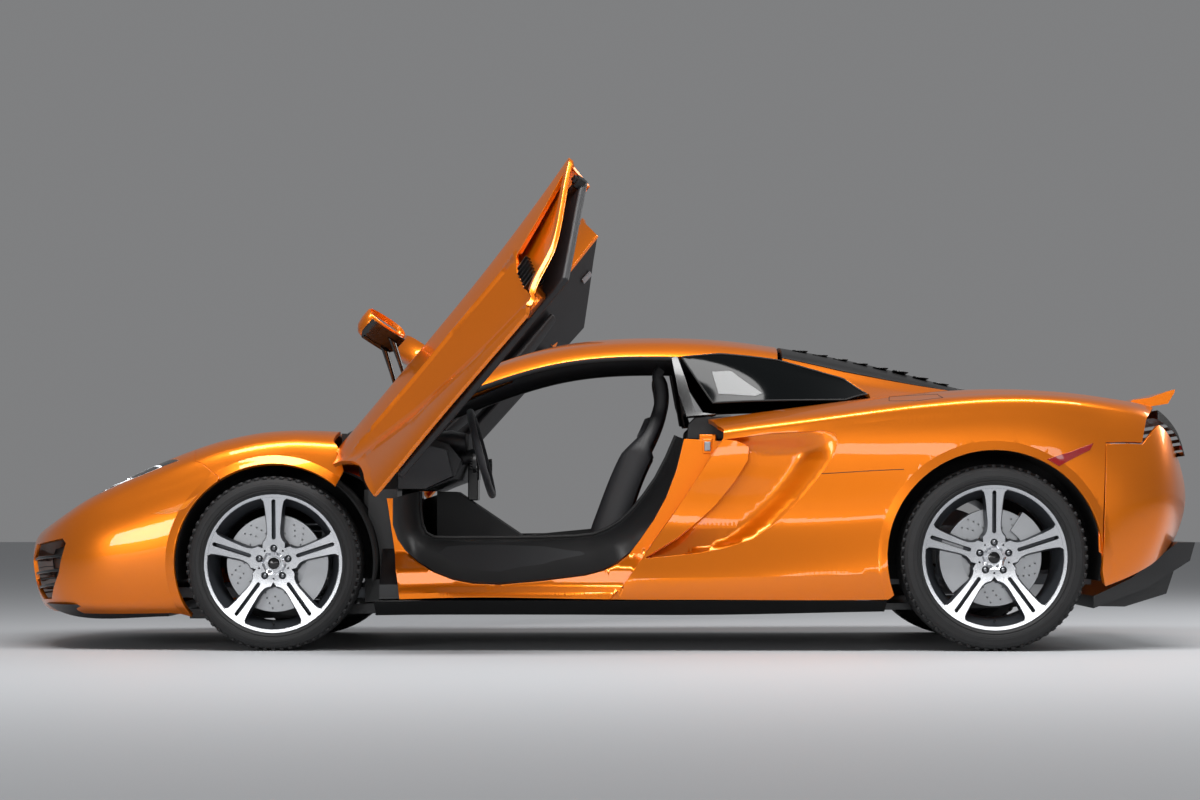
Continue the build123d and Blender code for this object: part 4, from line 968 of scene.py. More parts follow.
def polar(radius, degrees):
    """Flat point at a radius and an angle."""
    return (radius * math.cos(math.radians(degrees)), radius * math.sin(math.radians(degrees)))


def build_wheel(label, axle, tyre_r, tyre_out, tyre_in, grow):
    """Tyre, rim, disc, bolts and cap of one axle's wheels, both sides.

    The rim's radii are the front wheel's; beyond the hub they grow by a factor.
    """
    far = lambda r: r if r <= 60 else 60 + (r - 60) * grow
    centre = (axle[0], 0.0, tyre_r)
    lip, face_r = far(LIP_R), far(FACE_R)
    edge_y, hub_y = tyre_out - 15, tyre_out - 30

    def dish(uv):
        """Height of the face, dished from the rim to the hub and sunk round the cap."""
        r = np.hypot(uv[:, 0], uv[:, 1])
        return hub_y + (edge_y - hub_y) * np.clip((r - 60) / (face_r - 60), 0, 1) ** 1.4 - 9 * (r < 40)

    windows, slots = [], []
    for k in range(SPOKES):
        spoke = 90 + 72 * k
        flank = [(math.hypot(far(r), w), math.degrees(math.atan2(w, far(r)))) for r, w in SPOKE_HALF]
        left = [polar(r, spoke + turn) for r, turn in flank]
        right = [polar(r, spoke + 72 - turn) for r, turn in flank]
        spread = math.degrees(math.atan2(SPOKE_HALF[0][1] + 8, far(244)))
        rim_arc = [polar(far(244.5), spoke + 72 - spread + (2 * spread - 72) * i / 12) for i in range(13)]
        windows.append(left[::-1] + rim_arc[::-1] + right + [polar(far(WINDOW_APEX), spoke + 36)])
        ring = []
        for r, flip in ((far(SLOT_R1), 0), (far(SLOT_R0), 180)):
            shift = -SLOT_HALF if flip == 0 else SLOT_HALF
            ring += [(r + shift + SLOT_HALF * math.cos(math.radians(a)),
                      SLOT_HALF * math.sin(math.radians(a)))
                     for a in np.linspace(flip - 90, flip + 90, 9)]
        c, s = math.cos(math.radians(spoke)), math.sin(math.radians(spoke))
        slots.append([(u * c - v * s, u * s + v * c) for u, v in ring])
    pockets = [ring_of(14, polar(BOLT_R, 90 + 72 * k), 20) for k in range(SPOKES)]
    pin_holes = [ring_of(4, polar(57, 126 + 72 * k), 10) for k in range(SPOKES)]
    holes = windows + slots + pockets + pin_holes
    walls = [(8.0, 42.0)] * SPOKES + [(3.0, 26.0)] * SPOKES + [(1.0, 14.0)] * SPOKES + [(0.0, 12.0)] * SPOKES
    face, wall_parts = pierced(ring_of(face_r, steps=144), holes, dish, walls, spacing=9.0, step=5.0)
    lip_ring = lathe([(face_r, edge_y), (face_r + 1, edge_y + 1.5), (lip - 3, edge_y + 2.5), (lip, edge_y),
                      (lip, edge_y - 10)], 144)
    barrel = lathe([(face_r, edge_y), (far(240), edge_y - 12), (far(222), edge_y - 55),
                    (far(214), edge_y - 75), (far(214), edge_y - 150), (far(230), tyre_in + 26),
                    (lip - 2, tyre_in + 14)], 96)
    floors = [prism([(p[0] * 0.98, p[1] * 0.98) for p in s], hub_y - 34, hub_y - 28) for s in slots]
    floors += [prism(p, hub_y - 16, hub_y - 14) for p in pockets]
    hub_back = lathe([(20, hub_y - 20), (84, hub_y - 40), (84, HUB_Y + 4), (20, HUB_Y + 4)], 48)
    cap = lathe([(0.5, hub_y - 2), (CAP_R * 0.6, hub_y - 3), (CAP_R - 2, hub_y - 6), (CAP_R, hub_y - 12)], 40)
    cap_lip = lathe([(CAP_R - 1, hub_y - 9), (CAP_R, hub_y - 5), (CAP_R + 3, hub_y - 5),
                     (CAP_R + 5, hub_y - 10)], 40)
    valve = tube([(0, edge_y - 26, -far(227)), (0, edge_y - 2, -far(222))], 4.0, 10)
    disc_face, disc_y = DISC_R - 1.5, HUB_Y - 13.5
    drillings = [ring_of(3.4, polar(first + 17 * j, 36 * k + turn + 5 * j), 8)
                 for first, turn, rows in ((116, 0, 4), (124, 18, 3)) for k in range(10) for j in range(rows)]
    iron, drilled = pierced(ring_of(disc_face, steps=96), [ring_of(89, steps=64)] + drillings,
                            lambda uv: np.full(len(uv), disc_y), [None] + [(0.0, 5.0)] * len(drillings),
                            spacing=9.0, step=6.0)
    iron_edge = lathe([(disc_face, disc_y), (DISC_R, HUB_Y - 15), (DISC_R, HUB_Y - 42), (88, HUB_Y - 42),
                       (88, HUB_Y - 20)], 96)
    hat = lathe([(89, HUB_Y - 14), (88, HUB_Y - 8), (84, HUB_Y + 1), (78, HUB_Y + 3), (40, HUB_Y + 3)], 64)
    bead, top = lip - 1.0, tyre_r
    out, into = tyre_out, tyre_in
    grooves = []
    for y in (out - (out - into) * part for part in (0.27, 0.42, 0.58, 0.73)):
        grooves += [(top - 0.3, y + 5.5), (top - 7, y + 4), (top - 7, y - 4), (top - 0.3, y - 5.5)]
    carcass = ([(bead - 4, out - 34), (bead - 1, out - 20), (bead + 4, out - 9), (bead + 10, out - 4),
                (bead + 12, out - 5.5), (bead + 15, out - 5.5), (bead + 17, out - 2.5),
                (bead + 28, out - 0.5), (bead + 30, out - 1.6), (bead + 31.5, out - 0.5), (top - 24, out - 4),
                (top - 23, out - 6.5), (top - 13, out - 12), (top - 8, out - 19), (top - 6, out - 30),
                (top - 6, out - 42), (top - 0.5, out - 44)]
               + grooves
               + [(top - 0.5, into + 44), (top - 6, into + 42), (top - 6, into + 30), (top - 8, into + 19),
                  (top - 13, into + 12), (top - 24, into + 4), (bead + 30, into), (bead + 4, into + 9),
                  (bead - 4, into + 34)])
    for side_name, sign in SIDES:
        name, rider = f"{label}_{side_name}", f"wheel_{label}_{side_name}"
        add_solid(f"tyre_{name}_tread", [lathe(carcass, 120)], tyre_rubber, rider, [f"tyre_{name}"],
                  sign, smooth=28, at=centre)
        for end, to_space in (("outer", lambda u, v, w: (u, out - 13 - v, w)),
                              ("inner", lambda u, v, w: (u, into + 13 + v, w))):
            block = prism([(-9.5, 0.0), (5.5, 0.0), (9.5, 29.0), (-5.5, 29.0)], top - 12, top - 0.8, to_space)
            blocks = repeat_piece(seed_of([block], sign), f"tyre_{name}_{end}_blocks", TREAD_BLOCKS,
                                  360 / TREAD_BLOCKS, (0, 0, 0), (0, 1, 0), tyre_rubber, rider)
            blocks.data.transform(Matrix.Translation(Vector(centre) * MM))
        add_solid(f"rim_{name}_face", [face, lip_ring], wheel_silver, rider, [f"rim_{name}"],
                  sign, smooth=40, at=centre)
        # the spoke walls, barrel, hub back and slot floors take the darker grey that paints in the shade of
        # the wheel's recesses
        add_solid(f"rim_{name}_barrel", wall_parts + [barrel, hub_back] + floors, wheel_shade_grey, rider, (),
                  sign, smooth=40, at=centre)
        add_solid(f"rim_{name}_cap", [cap, valve], black_gloss, rider, (), sign, at=centre)
        add_solid(f"rim_{name}_cap_ring", [cap_lip], wheel_silver, rider, (), sign, at=centre)
        add_solid(f"rim_{name}_disc", [iron, iron_edge] + drilled, disc_iron, rider, (), sign,
                  at=centre)
        add_solid(f"rim_{name}_hat", [hat], bronze, rider, (), sign, at=centre)
        head = lathe([(0.5, hub_y + 1), (5, hub_y), (8, hub_y - 2.5), (9, hub_y - 6), (9, hub_y - 20)], 18)
        bolts = repeat_piece(seed_of([head], sign, at=(0, 0, BOLT_R)), f"wheel_bolts_{name}", SPOKES,
                             360 / SPOKES, (0, 0, 0), (0, 1, 0), steel, rider)
        bolts.data.transform(Matrix.Translation(Vector(centre) * MM))


build_wheel("front", FRONT_AXLE, 323.5, 945.5, 710.5, 1.0)
build_wheel("rear", REAR_AXLE, 345.5, 944.0, 639.0, 211 / 199)


# ---------------------------------------------------------------- solids that stay, with their finish
# clear polycarbonate: lamp covers that let the lamp bowls show
glass_clear = finish_of("clear_polycarbonate", "F2F5F7", rough=0.03, Transmission_Weight=0.95, IOR=1.3)
# amber reflector: prisms that glow orange at the front corner
amber = finish_of("amber_reflector", "E07A08", rough=0.15, coat=0.8, bump=("voronoi", 260.0, 0.5, 0.001))
# red lens: the same prisms in red at the tail
red_lens = finish_of("red_lens", "8E0F12", rough=0.12, coat=0.8, bump=("voronoi", 260.0, 0.4, 0.001))
# lit diode strip: the white line inside each headlamp
lamp_glow = finish_of("led_white", "F4F7FF", rough=0.2, Emission_Color=(0.9, 0.95, 1.0, 1.0),
                      Emission_Strength=1.6)
# bright chrome: projectors, mirror panes and door pulls
chrome = finish_of("bright_chrome", "E4E6E8", rough=0.08, metal=1.0)
# seal rubber: matt black beads round doors and panes
rubber = finish_of("black_seal_rubber", "0E0E0F", rough=0.6, rough_spread=0.05)
# cast aluminium: sandy grey engine and frames
cast_alloy = finish_of("cast_aluminium", "8C8F93", rough=0.48, metal=0.85, second="7C7F84", mix_scale=70.0,
                       bump=("noise", 260.0, 0.3, 0.0008))
# pressed felt: arch liners that swallow the light
liner_felt = finish_of("arch_liner_felt", "141415", rough=0.9, bump=("noise", 420.0, 0.5, 0.001))
# loop carpet: dark and deep, on floor and luggage well
carpet = finish_of("dark_carpet", "1B1B1D", rough=0.98, bump=("noise", 800.0, 0.7, 0.0015), Sheen_Weight=0.2)
# blank label: a plain grey plate inside each door
label_grey = finish_of("blank_label", "8A8D92", rough=0.4)

# Each solid's material, and the width in millimetres that its edges are rounded by.
CAD_FINISH = {
    "air_brake": (paint, 2.0), "arch_liners": (liner_felt, 0.0), "centre_console": (leather, 14.0),
    "cowl": (black_satin, 1.0), "dashboard": (leather, 9.0), "diffuser": (carbon, 2.0),
    "engine_block": (cast_alloy, 6.0), "exhaust_tips": (steel, 1.0), "front_frame": (cast_alloy, 2.0),
    "front_knuckle_left": (caliper_grey, 3.0), "front_knuckle_right": (caliper_grey, 3.0),
    "front_wishbones": (cast_alloy, 1.0), "luggage_tub": (carpet, 4.0), "rear_frame": (cast_alloy, 2.0),
    "rear_uprights": (caliper_grey, 3.0), "side_skirts": (black_gloss, 2.0), "splitter": (carbon, 1.5),
    "tub": (carbon, 3.0), "underfloor": (carbon, 0.0)}
for node, (finish, rounding) in CAD_FINISH.items():
    recoat(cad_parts[node], finish)
    if rounding:
        round_edges(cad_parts[node], rounding, degrees=40)

# ---------------------------------------------------------------- door openings
# Sill and jamb behind the doors, (x, z); the trim runs from their edge in to the cabin.
JAMB_EDGE = [(-802, 566), (-802, 466), (-784, 412), (-754, 370), (-702, 326), (-642, 290), (-570, 262),
             (-497, 248), (-400, 244), (-240, 258), (-76, 279), (-10, 297), (40, 322), (88, 362), (126, 412),
             (176, 484), (223, 570), (262, 674), (290, 788)]
TRIM_EDGE = [(-712, 590), (-710, 510), (-704, 462), (-690, 430), (-660, 414), (-620, 412), (-560, 412),
             (-497, 412), (-400, 412), (-240, 414), (-120, 418), (-50, 426), (0, 446), (50, 476), (96, 520),
             (140, 574), (186, 640), (226, 716), (262, 800)]
# Height of the jamb's face and its distance from the car's middle there.
SILL_FACE = ((186, 902), (214, 898), (242, 868), (300, 864), (358, 784))


def jamb_y(z):
    """Distance of the jamb's face from the car's middle at a height."""
    return np.interp(z, [p[0] for p in SILL_FACE], [p[1] for p in SILL_FACE])


def jamb_surface(ts):
    """Points of the jamb's face, at least 14 mm inside the door's skin."""
    base = body.base(ts)
    return np.stack((base[:, 0], np.minimum(base[:, 1] - 14, jamb_y(base[:, 2])), base[:, 2]), 1)


SHUT_LINE = [(427, 780), (405, 748), (318, 624), (231, 498), (144, 374), (92, 300), (52, 242), (14, 190)]
jamb_outline = [(-826, 566)] + JAMB_EDGE + [(x + 12, z) for x, z in SHUT_LINE] + [(-768, 190)]
jamb = skin_patch(body, side(body, jamb_outline, high=4.0), warp=jamb_surface, depth=3, flange=2, spacing=12)
add_patch("door_jambs", jamb, BOTH, paint, "chassis", [])
shut = np.array(SHUT_LINE, float) + (13, 0)
skin_y = body.base(np.array(side(body, SHUT_LINE, high=4.0)))[:, 1] - 15
wall = np.concatenate((np.stack((shut[:, 0], jamb_y(shut[:, 1]) - 4, shut[:, 1]), 1),
                       np.stack((shut[:, 0] + 2, skin_y, shut[:, 1]), 1)))
wall_faces = [(i, i + 1, len(shut) + i + 1, len(shut) + i) for i in range(len(shut) - 1)]
corner_block = prism([(300, 786), (306, 846), (336, 876), (470, 878), (470, 800), (438, 786)], 690, 736)
for label, sign in SIDES:
    add_solid(f"jamb_return_{label}", [(wall, wall_faces)], paint, "chassis", (), sign, smooth=60)
    add_solid(f"belt_corner_{label}", [corner_block], black_satin, "chassis", (), sign, bevel=6)
outer_loop, inner_loop = np.array(JAMB_EDGE, float), np.array(TRIM_EDGE, float)
count = len(outer_loop)
rings = []
# Each ring of the trim: share of the way in, distance from the car's middle (None where it follows the
# jamb), how far it stands proud of the jamb, and its drop.
for part, y, proud, drop in ((0.0, None, 1.0, 0), (0.04, None, 6.0, 0), (0.5, 745.0, 0, 0),
                             (0.84, 706.0, 0, 0), (1.0, 618.0, 0, 0), (1.0, 606.0, 0, 8)):
    xz = outer_loop + (inner_loop - outer_loop) * (part, min(part * 1.1, 1.0))
    ys = jamb_y(outer_loop[:, 1]) + proud if y is None else np.full(count, y)
    ys = np.minimum(ys, 786.0 + 200 * (xz[:, 1] < 340))
    rings.append(np.stack((xz[:, 0], ys, xz[:, 1] - drop), 1))
quads = [(k * count + i, k * count + i + 1, (k + 1) * count + i + 1, (k + 1) * count + i)
         for k in range(len(rings) - 1) for i in range(count - 1)]
sill_trim = (np.concatenate(rings), quads)
bead = np.stack((inner_loop[:, 0], np.full(count, 612.0), inner_loop[:, 1] + 4), 1)
rail = cabin.base(np.stack((np.linspace(-880, 262, 26), np.full(26, 1.04)), 1)) - (0, 12, 10)
lower = cabin.base(np.stack((np.linspace(262, 300, 8), np.linspace(1.0, 0.05, 8)), 1)) - (0, 14, 4)
seals = [tube(bead, 8.0, 10), tube(rail, 13.0, 10), tube(lower, 13.0, 10)]
for label, sign in SIDES:
    add_solid(f"sill_trim_{label}", [sill_trim], black_satin, "chassis", (), sign, smooth=60)
    add_solid(f"door_seal_{label}", seals, rubber, "chassis", (), sign, smooth=60)
pillar = [(244, 1100), (266, 1106), (300, 1010), (332, 894), (410, 880), (400, 862), (300, 846), (270, 960)]
pillar_trim = skin_patch(cabin, side(cabin, pillar, high=1.2), depth=14, flange=6, spacing=12)
add_patch("centre_pillar_trim", pillar_trim, BOTH, black_gloss, "chassis", [])
# latch block and claw on the jamb
latch = [slab((346, 762, 716), (412, 778, 806)), slab((358, 774, 730), (398, 786, 790))]
for label, sign in SIDES:
    add_solid(f"latch_block_{label}", latch, paint, "chassis", (), sign, bevel=6)
    add_solid(f"latch_claw_{label}", [slab((366, 784, 742), (390, 790, 778))], steel, "chassis", (),
              sign, bevel=3)

# ---------------------------------------------------------------- mirrors, door trim and door vents
MIRROR_AT = (-560.0, 985.0, 925.0)


def shell_of(sections, closed_end=True):
    """Body lofted through rings of points, closed at its start and, where wanted, at its end."""
    count = len(sections[0])
    verts = np.concatenate([np.asarray(s, float) for s in sections])
    faces = [(k * count + i, k * count + (i + 1) % count, (k + 1) * count + (i + 1) % count,
              (k + 1) * count + i)
             for k in range(len(sections) - 1) for i in range(count)]
    faces.append(tuple(range(count))[::-1])
    if closed_end:
        faces.append(tuple(range(len(verts) - count, len(verts))))
    return verts, faces


def oval(x, half_y, half_z, y, z, steps=28, square=2.6):
    """Rounded rectangle across the car at one x."""
    angles = np.linspace(0, 2 * math.pi, steps, endpoint=False)
    c, s = np.cos(angles), np.sin(angles)
    return np.stack((np.full(steps, float(x)), y + half_y * np.sign(c) * np.abs(c) ** (2 / square),
                     z + half_z * np.sign(s) * np.abs(s) ** (2 / square)), 1)


def add_mirror(label, sign):
    """Mirror head with an orange cap, a black finned underside, a sunk pane and twin stalks."""
    x, y, z = MIRROR_AT
    rider = f"door_{label}"
    wide, tall = 88, 52
    rings = ((-52, wide * 0.5, tall * 0.5), (-46, wide * 0.8, tall * 0.78), (-26, wide * 0.95, tall * 0.94),
             (6, wide, tall), (44, wide - 1, tall - 1), (47, wide - 6, tall - 6), (34, wide - 9, tall - 9))
    cap = shell_of([oval(x + back, half_y, half_z, y, z) for back, half_y, half_z in rings], closed_end=False)
    pane = shell_of([oval(x + 34, wide - 9, tall - 9, y, z), oval(x + 36, wide - 10, tall - 10, y, z)])
    under = shell_of([oval(x - 46, wide * 0.7, 8, y, z - tall * 0.72),
                      oval(x - 20, wide * 0.9, 12, y, z - tall * 0.86),
                      oval(x + 40, wide * 0.9, 10, y, z - tall * 0.92)])
    add_solid(f"mirror_cap_{label}", [cap], paint, rider, [f"door_{label}_mirror"], sign, open_door,
              smooth=60)
    add_solid(f"mirror_pane_{label}", [pane], chrome, rider, (), sign, open_door)
    stalks = []
    for foot, head in (((-706, 800, 786), (-592, 950, 872)), ((-652, 800, 786), (-546, 950, 870))):
        stalks.append(shell_of([oval(at[0], half_y, half_z, at[1], at[2], 16) for at, half_y, half_z
                                in ((foot, 15, 7), (np.mean((foot, head), 0), 14, 8), (head, 20, 12))]))
    low = z - tall
    fins = [prism([(x0 - 40, low - 3), (x0 - 32, low - 3), (x0 - 30, low + 18), (x0 - 42, low + 18)],
                  y - 60, y + 62)
            for x0 in (x + 17 * i for i in range(5))]
    add_solid(f"mirror_stalks_{label}", stalks + fins + [under], black_gloss, rider, (), sign,
              open_door, bevel=1.5)


# slats in the mouth of the air channel, behind the blade edge of the door
slats = [prism([(12, z0), (78, z0 + 10), (78, z0 + 15), (12, z0 + 5)], 842, 880)
         for z0 in range(452, 593, 28)]
slats.append(slab((8, 838, 440), (84, 844, 624)))
# inner trim: panel, armrest and pocket, pull handle, blank plate and catch
panel = prism([(-818, 374), (148, 374), (240, 520), (330, 668), (398, 770), (386, 814), (-400, 800),
               (-894, 772), (-894, 622)], 795, 824, taper=0.01)
pocket = prism([(-640, 420), (-120, 420), (-60, 470), (-90, 520), (-620, 520), (-660, 470)], 770, 792,
               taper=0.04)
arm = shell_of([oval(-700, 12, 30, 776, 650, 20), oval(-560, 22, 40, 768, 640, 20),
                oval(-200, 22, 40, 768, 628, 20), oval(20, 12, 26, 776, 640, 20)])
handle = tube([(-420, 770, 596), (-410, 748, 600), (-330, 744, 602), (-240, 748, 600), (-230, 770, 596)], 9)
plate = slab((232, 786, 620), (286, 793, 650))
catch = [slab((356, 812, 742), (396, 846, 778)), slab((366, 840, 748), (390, 858, 772))]
for label, sign in SIDES:
    add_mirror(label, sign)
    rider = f"door_{label}"
    add_solid(f"{rider}_vent", slats, black_gloss, rider, (), sign, open_door, bevel=1)
    add_solid(f"{rider}_lining", [panel], leather, rider, [f"{rider}_casing"], sign,
              open_door, bevel=9, segments=3)
    add_solid(f"{rider}_armrest", [arm, pocket], leather, rider, (), sign, open_door, bevel=6)
    add_solid(f"{rider}_pull", [handle], chrome, rider, (), sign, open_door, smooth=60)
    add_solid(f"{rider}_plate", [plate], label_grey, rider, (), sign, open_door, bevel=1)
    add_solid(f"{rider}_catch", catch, black_satin, rider, (), sign, open_door, bevel=3)


# ---------------------------------------------------------------- nose
def level_line(z, ts, low=0.2, high=3.4, steps=160):
    """Points of the body at one height, one for each column parameter."""
    rows = np.linspace(low, high, steps)
    points = []
    for t in ts:
        column = body.base(np.stack((np.full(steps, t), rows), 1))
        s = float(np.interp(z, column[:, 2], rows))
        points.append(body.base(np.array([(t, s)]))[0])
    return np.array(points)


INSIDE_NOSE = (-1700.0, 300.0, 0)      # blades of the nose run in towards it


def strip(points, inward, thick):
    """Blade that follows points and runs in from them by a depth, with a thickness."""
    inner = unit(np.cross(np.gradient(points, axis=0), (0.0, 0.0, 1.0)))
    if float((inner * (np.array(INSIDE_NOSE) - points)).sum()) < 0:
        inner = -inner
    up = np.array((0.0, 0.0, thick / 2))
    rings = [points + up, points - up, points + inner * inward - up, points + inner * inward + up]
    n = len(points)
    faces = []
    for i in range(n - 1):
        for k in range(4):
            a, b = k * n, (k + 1) % 4 * n
            faces.append((a + i, a + i + 1, b + i + 1, b + i))
    faces += [(0, n, 2 * n, 3 * n), (n - 1, 4 * n - 1, 3 * n - 1, 2 * n - 1)]
    return np.concatenate(rings), faces


add_patch("headlamp_covers", skin_patch(body, lamp_hole, depth=3, flange=2, spacing=10), BOTH, glass_clear,
          "chassis", ["headlamps"])
lamp_mid = np.mean(np.array(LAMP, float), 0)
wide_lamp = [tuple(lamp_mid + (np.array(p) - lamp_mid) * 1.06) for p in LAMP]


def lamp_well(ts):
    """Points of the lamp's bowl: deep along its middle, shallow at its edges."""
    base = body.base(ts)
    x, z = base[:, 0], base[:, 2]
    line = 540 + (x + 2013) * 0.44
    edge = np.clip(np.minimum((line + 62 - z) / 22, (z - line + 14) / 22), 0, 1)
    return body.at(ts) - body.frame_at(ts) * (8 + 62 * edge)[:, None]


wells = skin_patch(body, side(body, wide_lamp), warp=lamp_well, depth=3, flange=2, spacing=9)
add_patch("headlamp_wells", wells, BOTH, black_gloss, "chassis", [])
loop = dense(side(body, [tuple(lamp_mid + (np.array(p) - lamp_mid) * (0.72, 0.62)) for p in LAMP]), 14)
loop_line = offset_skin(body, -22)(loop)
projectors = []
for x, z, size in ((-1905, 606, 30), (-1820, 640, 26)):
    spot = offset_skin(body, -46)(np.array(side(body, [(x, z)])))[0]
    ring = lathe([(size, 0), (size, -16), (size - 4, -18), (size - 6, -4), (size * 0.7, 6), (0.5, 12)], 40)
    turn = np.array(Matrix.Rotation(math.radians(-58), 3, "Z") @ Matrix.Rotation(math.radians(-20), 3, "X"))
    projectors.append(((ring[0] * (1, -1, 1)) @ turn.T + spot, ring[1]))
for label, sign in SIDES:
    add_solid(f"lamp_loop_{label}", [tube(loop_line, 5.0, 10, closed=True)], lamp_glow, "chassis", (),
              sign, smooth=60)
    add_solid(f"lamp_projectors_{label}", projectors, chrome, "chassis", (), sign, smooth=40)

corner = [(-2185, 392), (-2040, 418), (-2016, 397), (-2045, 284), (-2090, 180), (-2150, 176), (-2208, 250),
          (-2220, 330)]
corner_bowl = skin_patch(body, side(body, corner, low=0.3, high=3.2), warp=offset_skin(body, -74), depth=3,
                         flange=2)
add_patch("corner_intakes", corner_bowl, BOTH, black_satin, "chassis", ["front_intakes"])
blades = []
for z, first, last in ((232, -2330, -2075), (284, -2375, -2040), (338, -2390, -2018)):
    points = level_line(z, np.linspace(first, last, 16))
    points[:, 2] += np.linspace(-10, 16, 16)
    blades.append(strip(points + (6, 0, 0), 62, 11))
for label, sign in SIDES:
    add_solid(f"intake_blades_{label}", blades, black_gloss, "chassis", (), sign, bevel=2.5)
grille_patch = skin_patch(body, [(-2760, 0.95), (-2760, 1.98), (-2560, 1.95), (-2490, 1.5), (-2560, 1.0)],
                          warp=offset_skin(body, 2.0), depth=4, flange=2)
add_patch("nose_grille", grille_patch, BOTH, black_satin, "chassis", [])
bars = []
for z in (196, 222, 248, 274):
    points = level_line(z, np.linspace(-2756, -2520, 9))
    bars.append(strip(points - (6, 0, 0), 9, 6))
for label, sign in SIDES:
    add_solid(f"nose_grille_bars_{label}", bars, black_gloss, "chassis", (), sign, bevel=1)


def marker(name, outline, material):
    """Side marker lens standing just proud of the skin on both sides."""
    raised = skin_patch(body, side(body, outline, high=4.2), warp=offset_skin(body, 2.2), depth=4, flange=2,
                        spacing=8)
    add_patch(name, raised, BOTH, material, "chassis", [])


marker("front_markers", [(-1690, 508), (-1600, 534), (-1514, 577), (-1561, 525), (-1630, 506)], amber)
marker("rear_markers", [(1627, 709), (1720, 738), (1803, 769), (1789, 743), (1672, 683)], red_lens)

# dark shut lines of the quarter panel, as fine rubber cords set into the skin
SEAMS = [[(796, 656), (1000, 668), (1100, 672)],
         [(1056, 925), (1062, 944), (1240, 952), (1252, 934), (1150, 922), (1056, 925)]]
cords = [tube(offset_skin(body, -0.4)(dense(side(body, line, high=5.2), 14, closed=False)), 1.5, 6)
         for line in SEAMS]
for label, sign in SIDES:
    add_solid(f"quarter_seams_{label}", cords, rubber, "chassis", (), sign, smooth=60)

# ---------------------------------------------------------------- roof, deck and tail details
lining_outline = [(-392, 4), (-392, 3), (-420, 2.2), (-840, 2.15), (-840, 1.3), (-440, 1.15), (250, 1.15),
                  (470, 1.5), (475, 4)]
roof_lining = skin_patch(cabin, lining_outline, warp=offset_skin(cabin, -30), depth=3, flange=2, spacing=30)
add_patch("roof_lining", roof_lining, BOTH, lining, "chassis", [])
pane_line = offset_skin(cabin, 0.5)(dense(quarter_pane, 16))
inner_edge = side(cabin, [(396, 1046), (470, 1050), (590, 962), (560, 950), (420, 958)], high=1.6)
inner_pane = skin_patch(cabin, inner_edge, warp=offset_skin(cabin, 1.2), depth=2, flange=1, spacing=14)
add_patch("quarter_inner_panes", inner_pane, BOTH, tint, "chassis", [])
for label, sign in SIDES:
    add_solid(f"quarter_seal_{label}", [tube(pane_line, 4.0, 8, closed=True)], rubber, "chassis", (),
              sign, smooth=60)
louvre = prism([(0, -4), (58, 6), (58, 9), (0, 1)], -395, 395)
for part, start, step in (("front", (716, 0, 1141), (78, 0, -16.5)),
                          ("rear", (1106, 0, 1063), (78, 0, -23.5))):
    tilt = np.array(Matrix.Rotation(math.atan2(-step[2], step[0]), 3, "Y"))
    seed = seed_of([(louvre[0] @ tilt.T + start, louvre[1])])
    repeat_piece(seed, f"deck_louvres_{part}", 5, 0.0, (0, 0, 0), (0, 1, 0), black_gloss, "chassis",
                 step=tuple(v * MM for v in step))
slat = prism([(0, -3), (26, 3), (26, 6), (0, 0)], 60, 358)
for label, sign in SIDES:
    repeat_piece(seed_of([slat], sign, at=(1566, 0, 950)), f"rear_deck_slats_{label}", 9, 0.0, (0, 0, 0),
                 (0, 1, 0), black_gloss, "chassis", step=(0.040, 0.0, -0.0016))
for node, finish in (("rear_grille", black_gloss), ("tail_lamps", red_lens), ("steering_wheel", suede)):
    recoat(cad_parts[node], finish)
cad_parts["steering_wheel"].data.set_sharp_from_angle(angle=math.radians(50))

# ---------------------------------------------------------------- cabin
mats = [slab((-780, 150, 215), (-430, 590, 224)), slab((-780, -590, 215), (-430, -150, 224))]
add_solid("floor_mats", mats, carpet, "chassis", (), bevel=5)
hood = shell_of([oval(-700, 120, 26, -370, 800), oval(-600, 150, 44, -370, 786),
                 oval(-545, 146, 42, -370, 776)])
add_solid("instrument_hood", [hood], leather, "chassis", (), bevel=4)
stack = [slab((-560, -78, 560), (-520, 78, 760)), slab((-524, -66, 640), (-516, 66, 748))]
add_solid("centre_stack", stack, black_gloss, "chassis", (), bevel=6)
vent_ring = lathe([(34, 0), (36, -4), (36, -14), (30, -14), (29, -4), (34, 0)], 40)
turn = np.array(Matrix.Rotation(math.radians(90), 3, "Z"))
for k, (y, z) in enumerate(((-610, 700), (610, 700), (110, 720), (-110, 720))):
    ring = (vent_ring[0] @ turn.T + (-512, y, z), vent_ring[1])
    vanes = [slab((-520, y - 30, z - 20 + 10 * i), (-512, y + 30, z - 17 + 10 * i)) for i in range(5)]
    add_solid(f"vent_{k + 1}", [ring] + vanes, black_satin, "chassis", (), bevel=0.6)


# ---------------------------------------------------------------- seats
# Front face of the seat down its middle, (x, z), from the cushion's lip to the top of the head rest.
SEAT_FACE = [(-430, 322), (-408, 352), (-360, 358), (-240, 338), (-130, 322), (-70, 332), (-22, 396),
             (16, 500), (56, 620), (100, 726), (140, 806), (172, 884), (186, 950), (180, 1006), (176, 1052),
             (196, 1080)]
SEAT_Y = 370.0
seat_steps = np.linalg.norm(np.diff(np.array(SEAT_FACE, float), axis=0), axis=1)
seat_knots = np.concatenate(([0.0], np.cumsum(seat_steps)))
seat_curve = natural_spline(seat_knots, SEAT_FACE)
SEAT_LENGTH = float(seat_knots[-1])


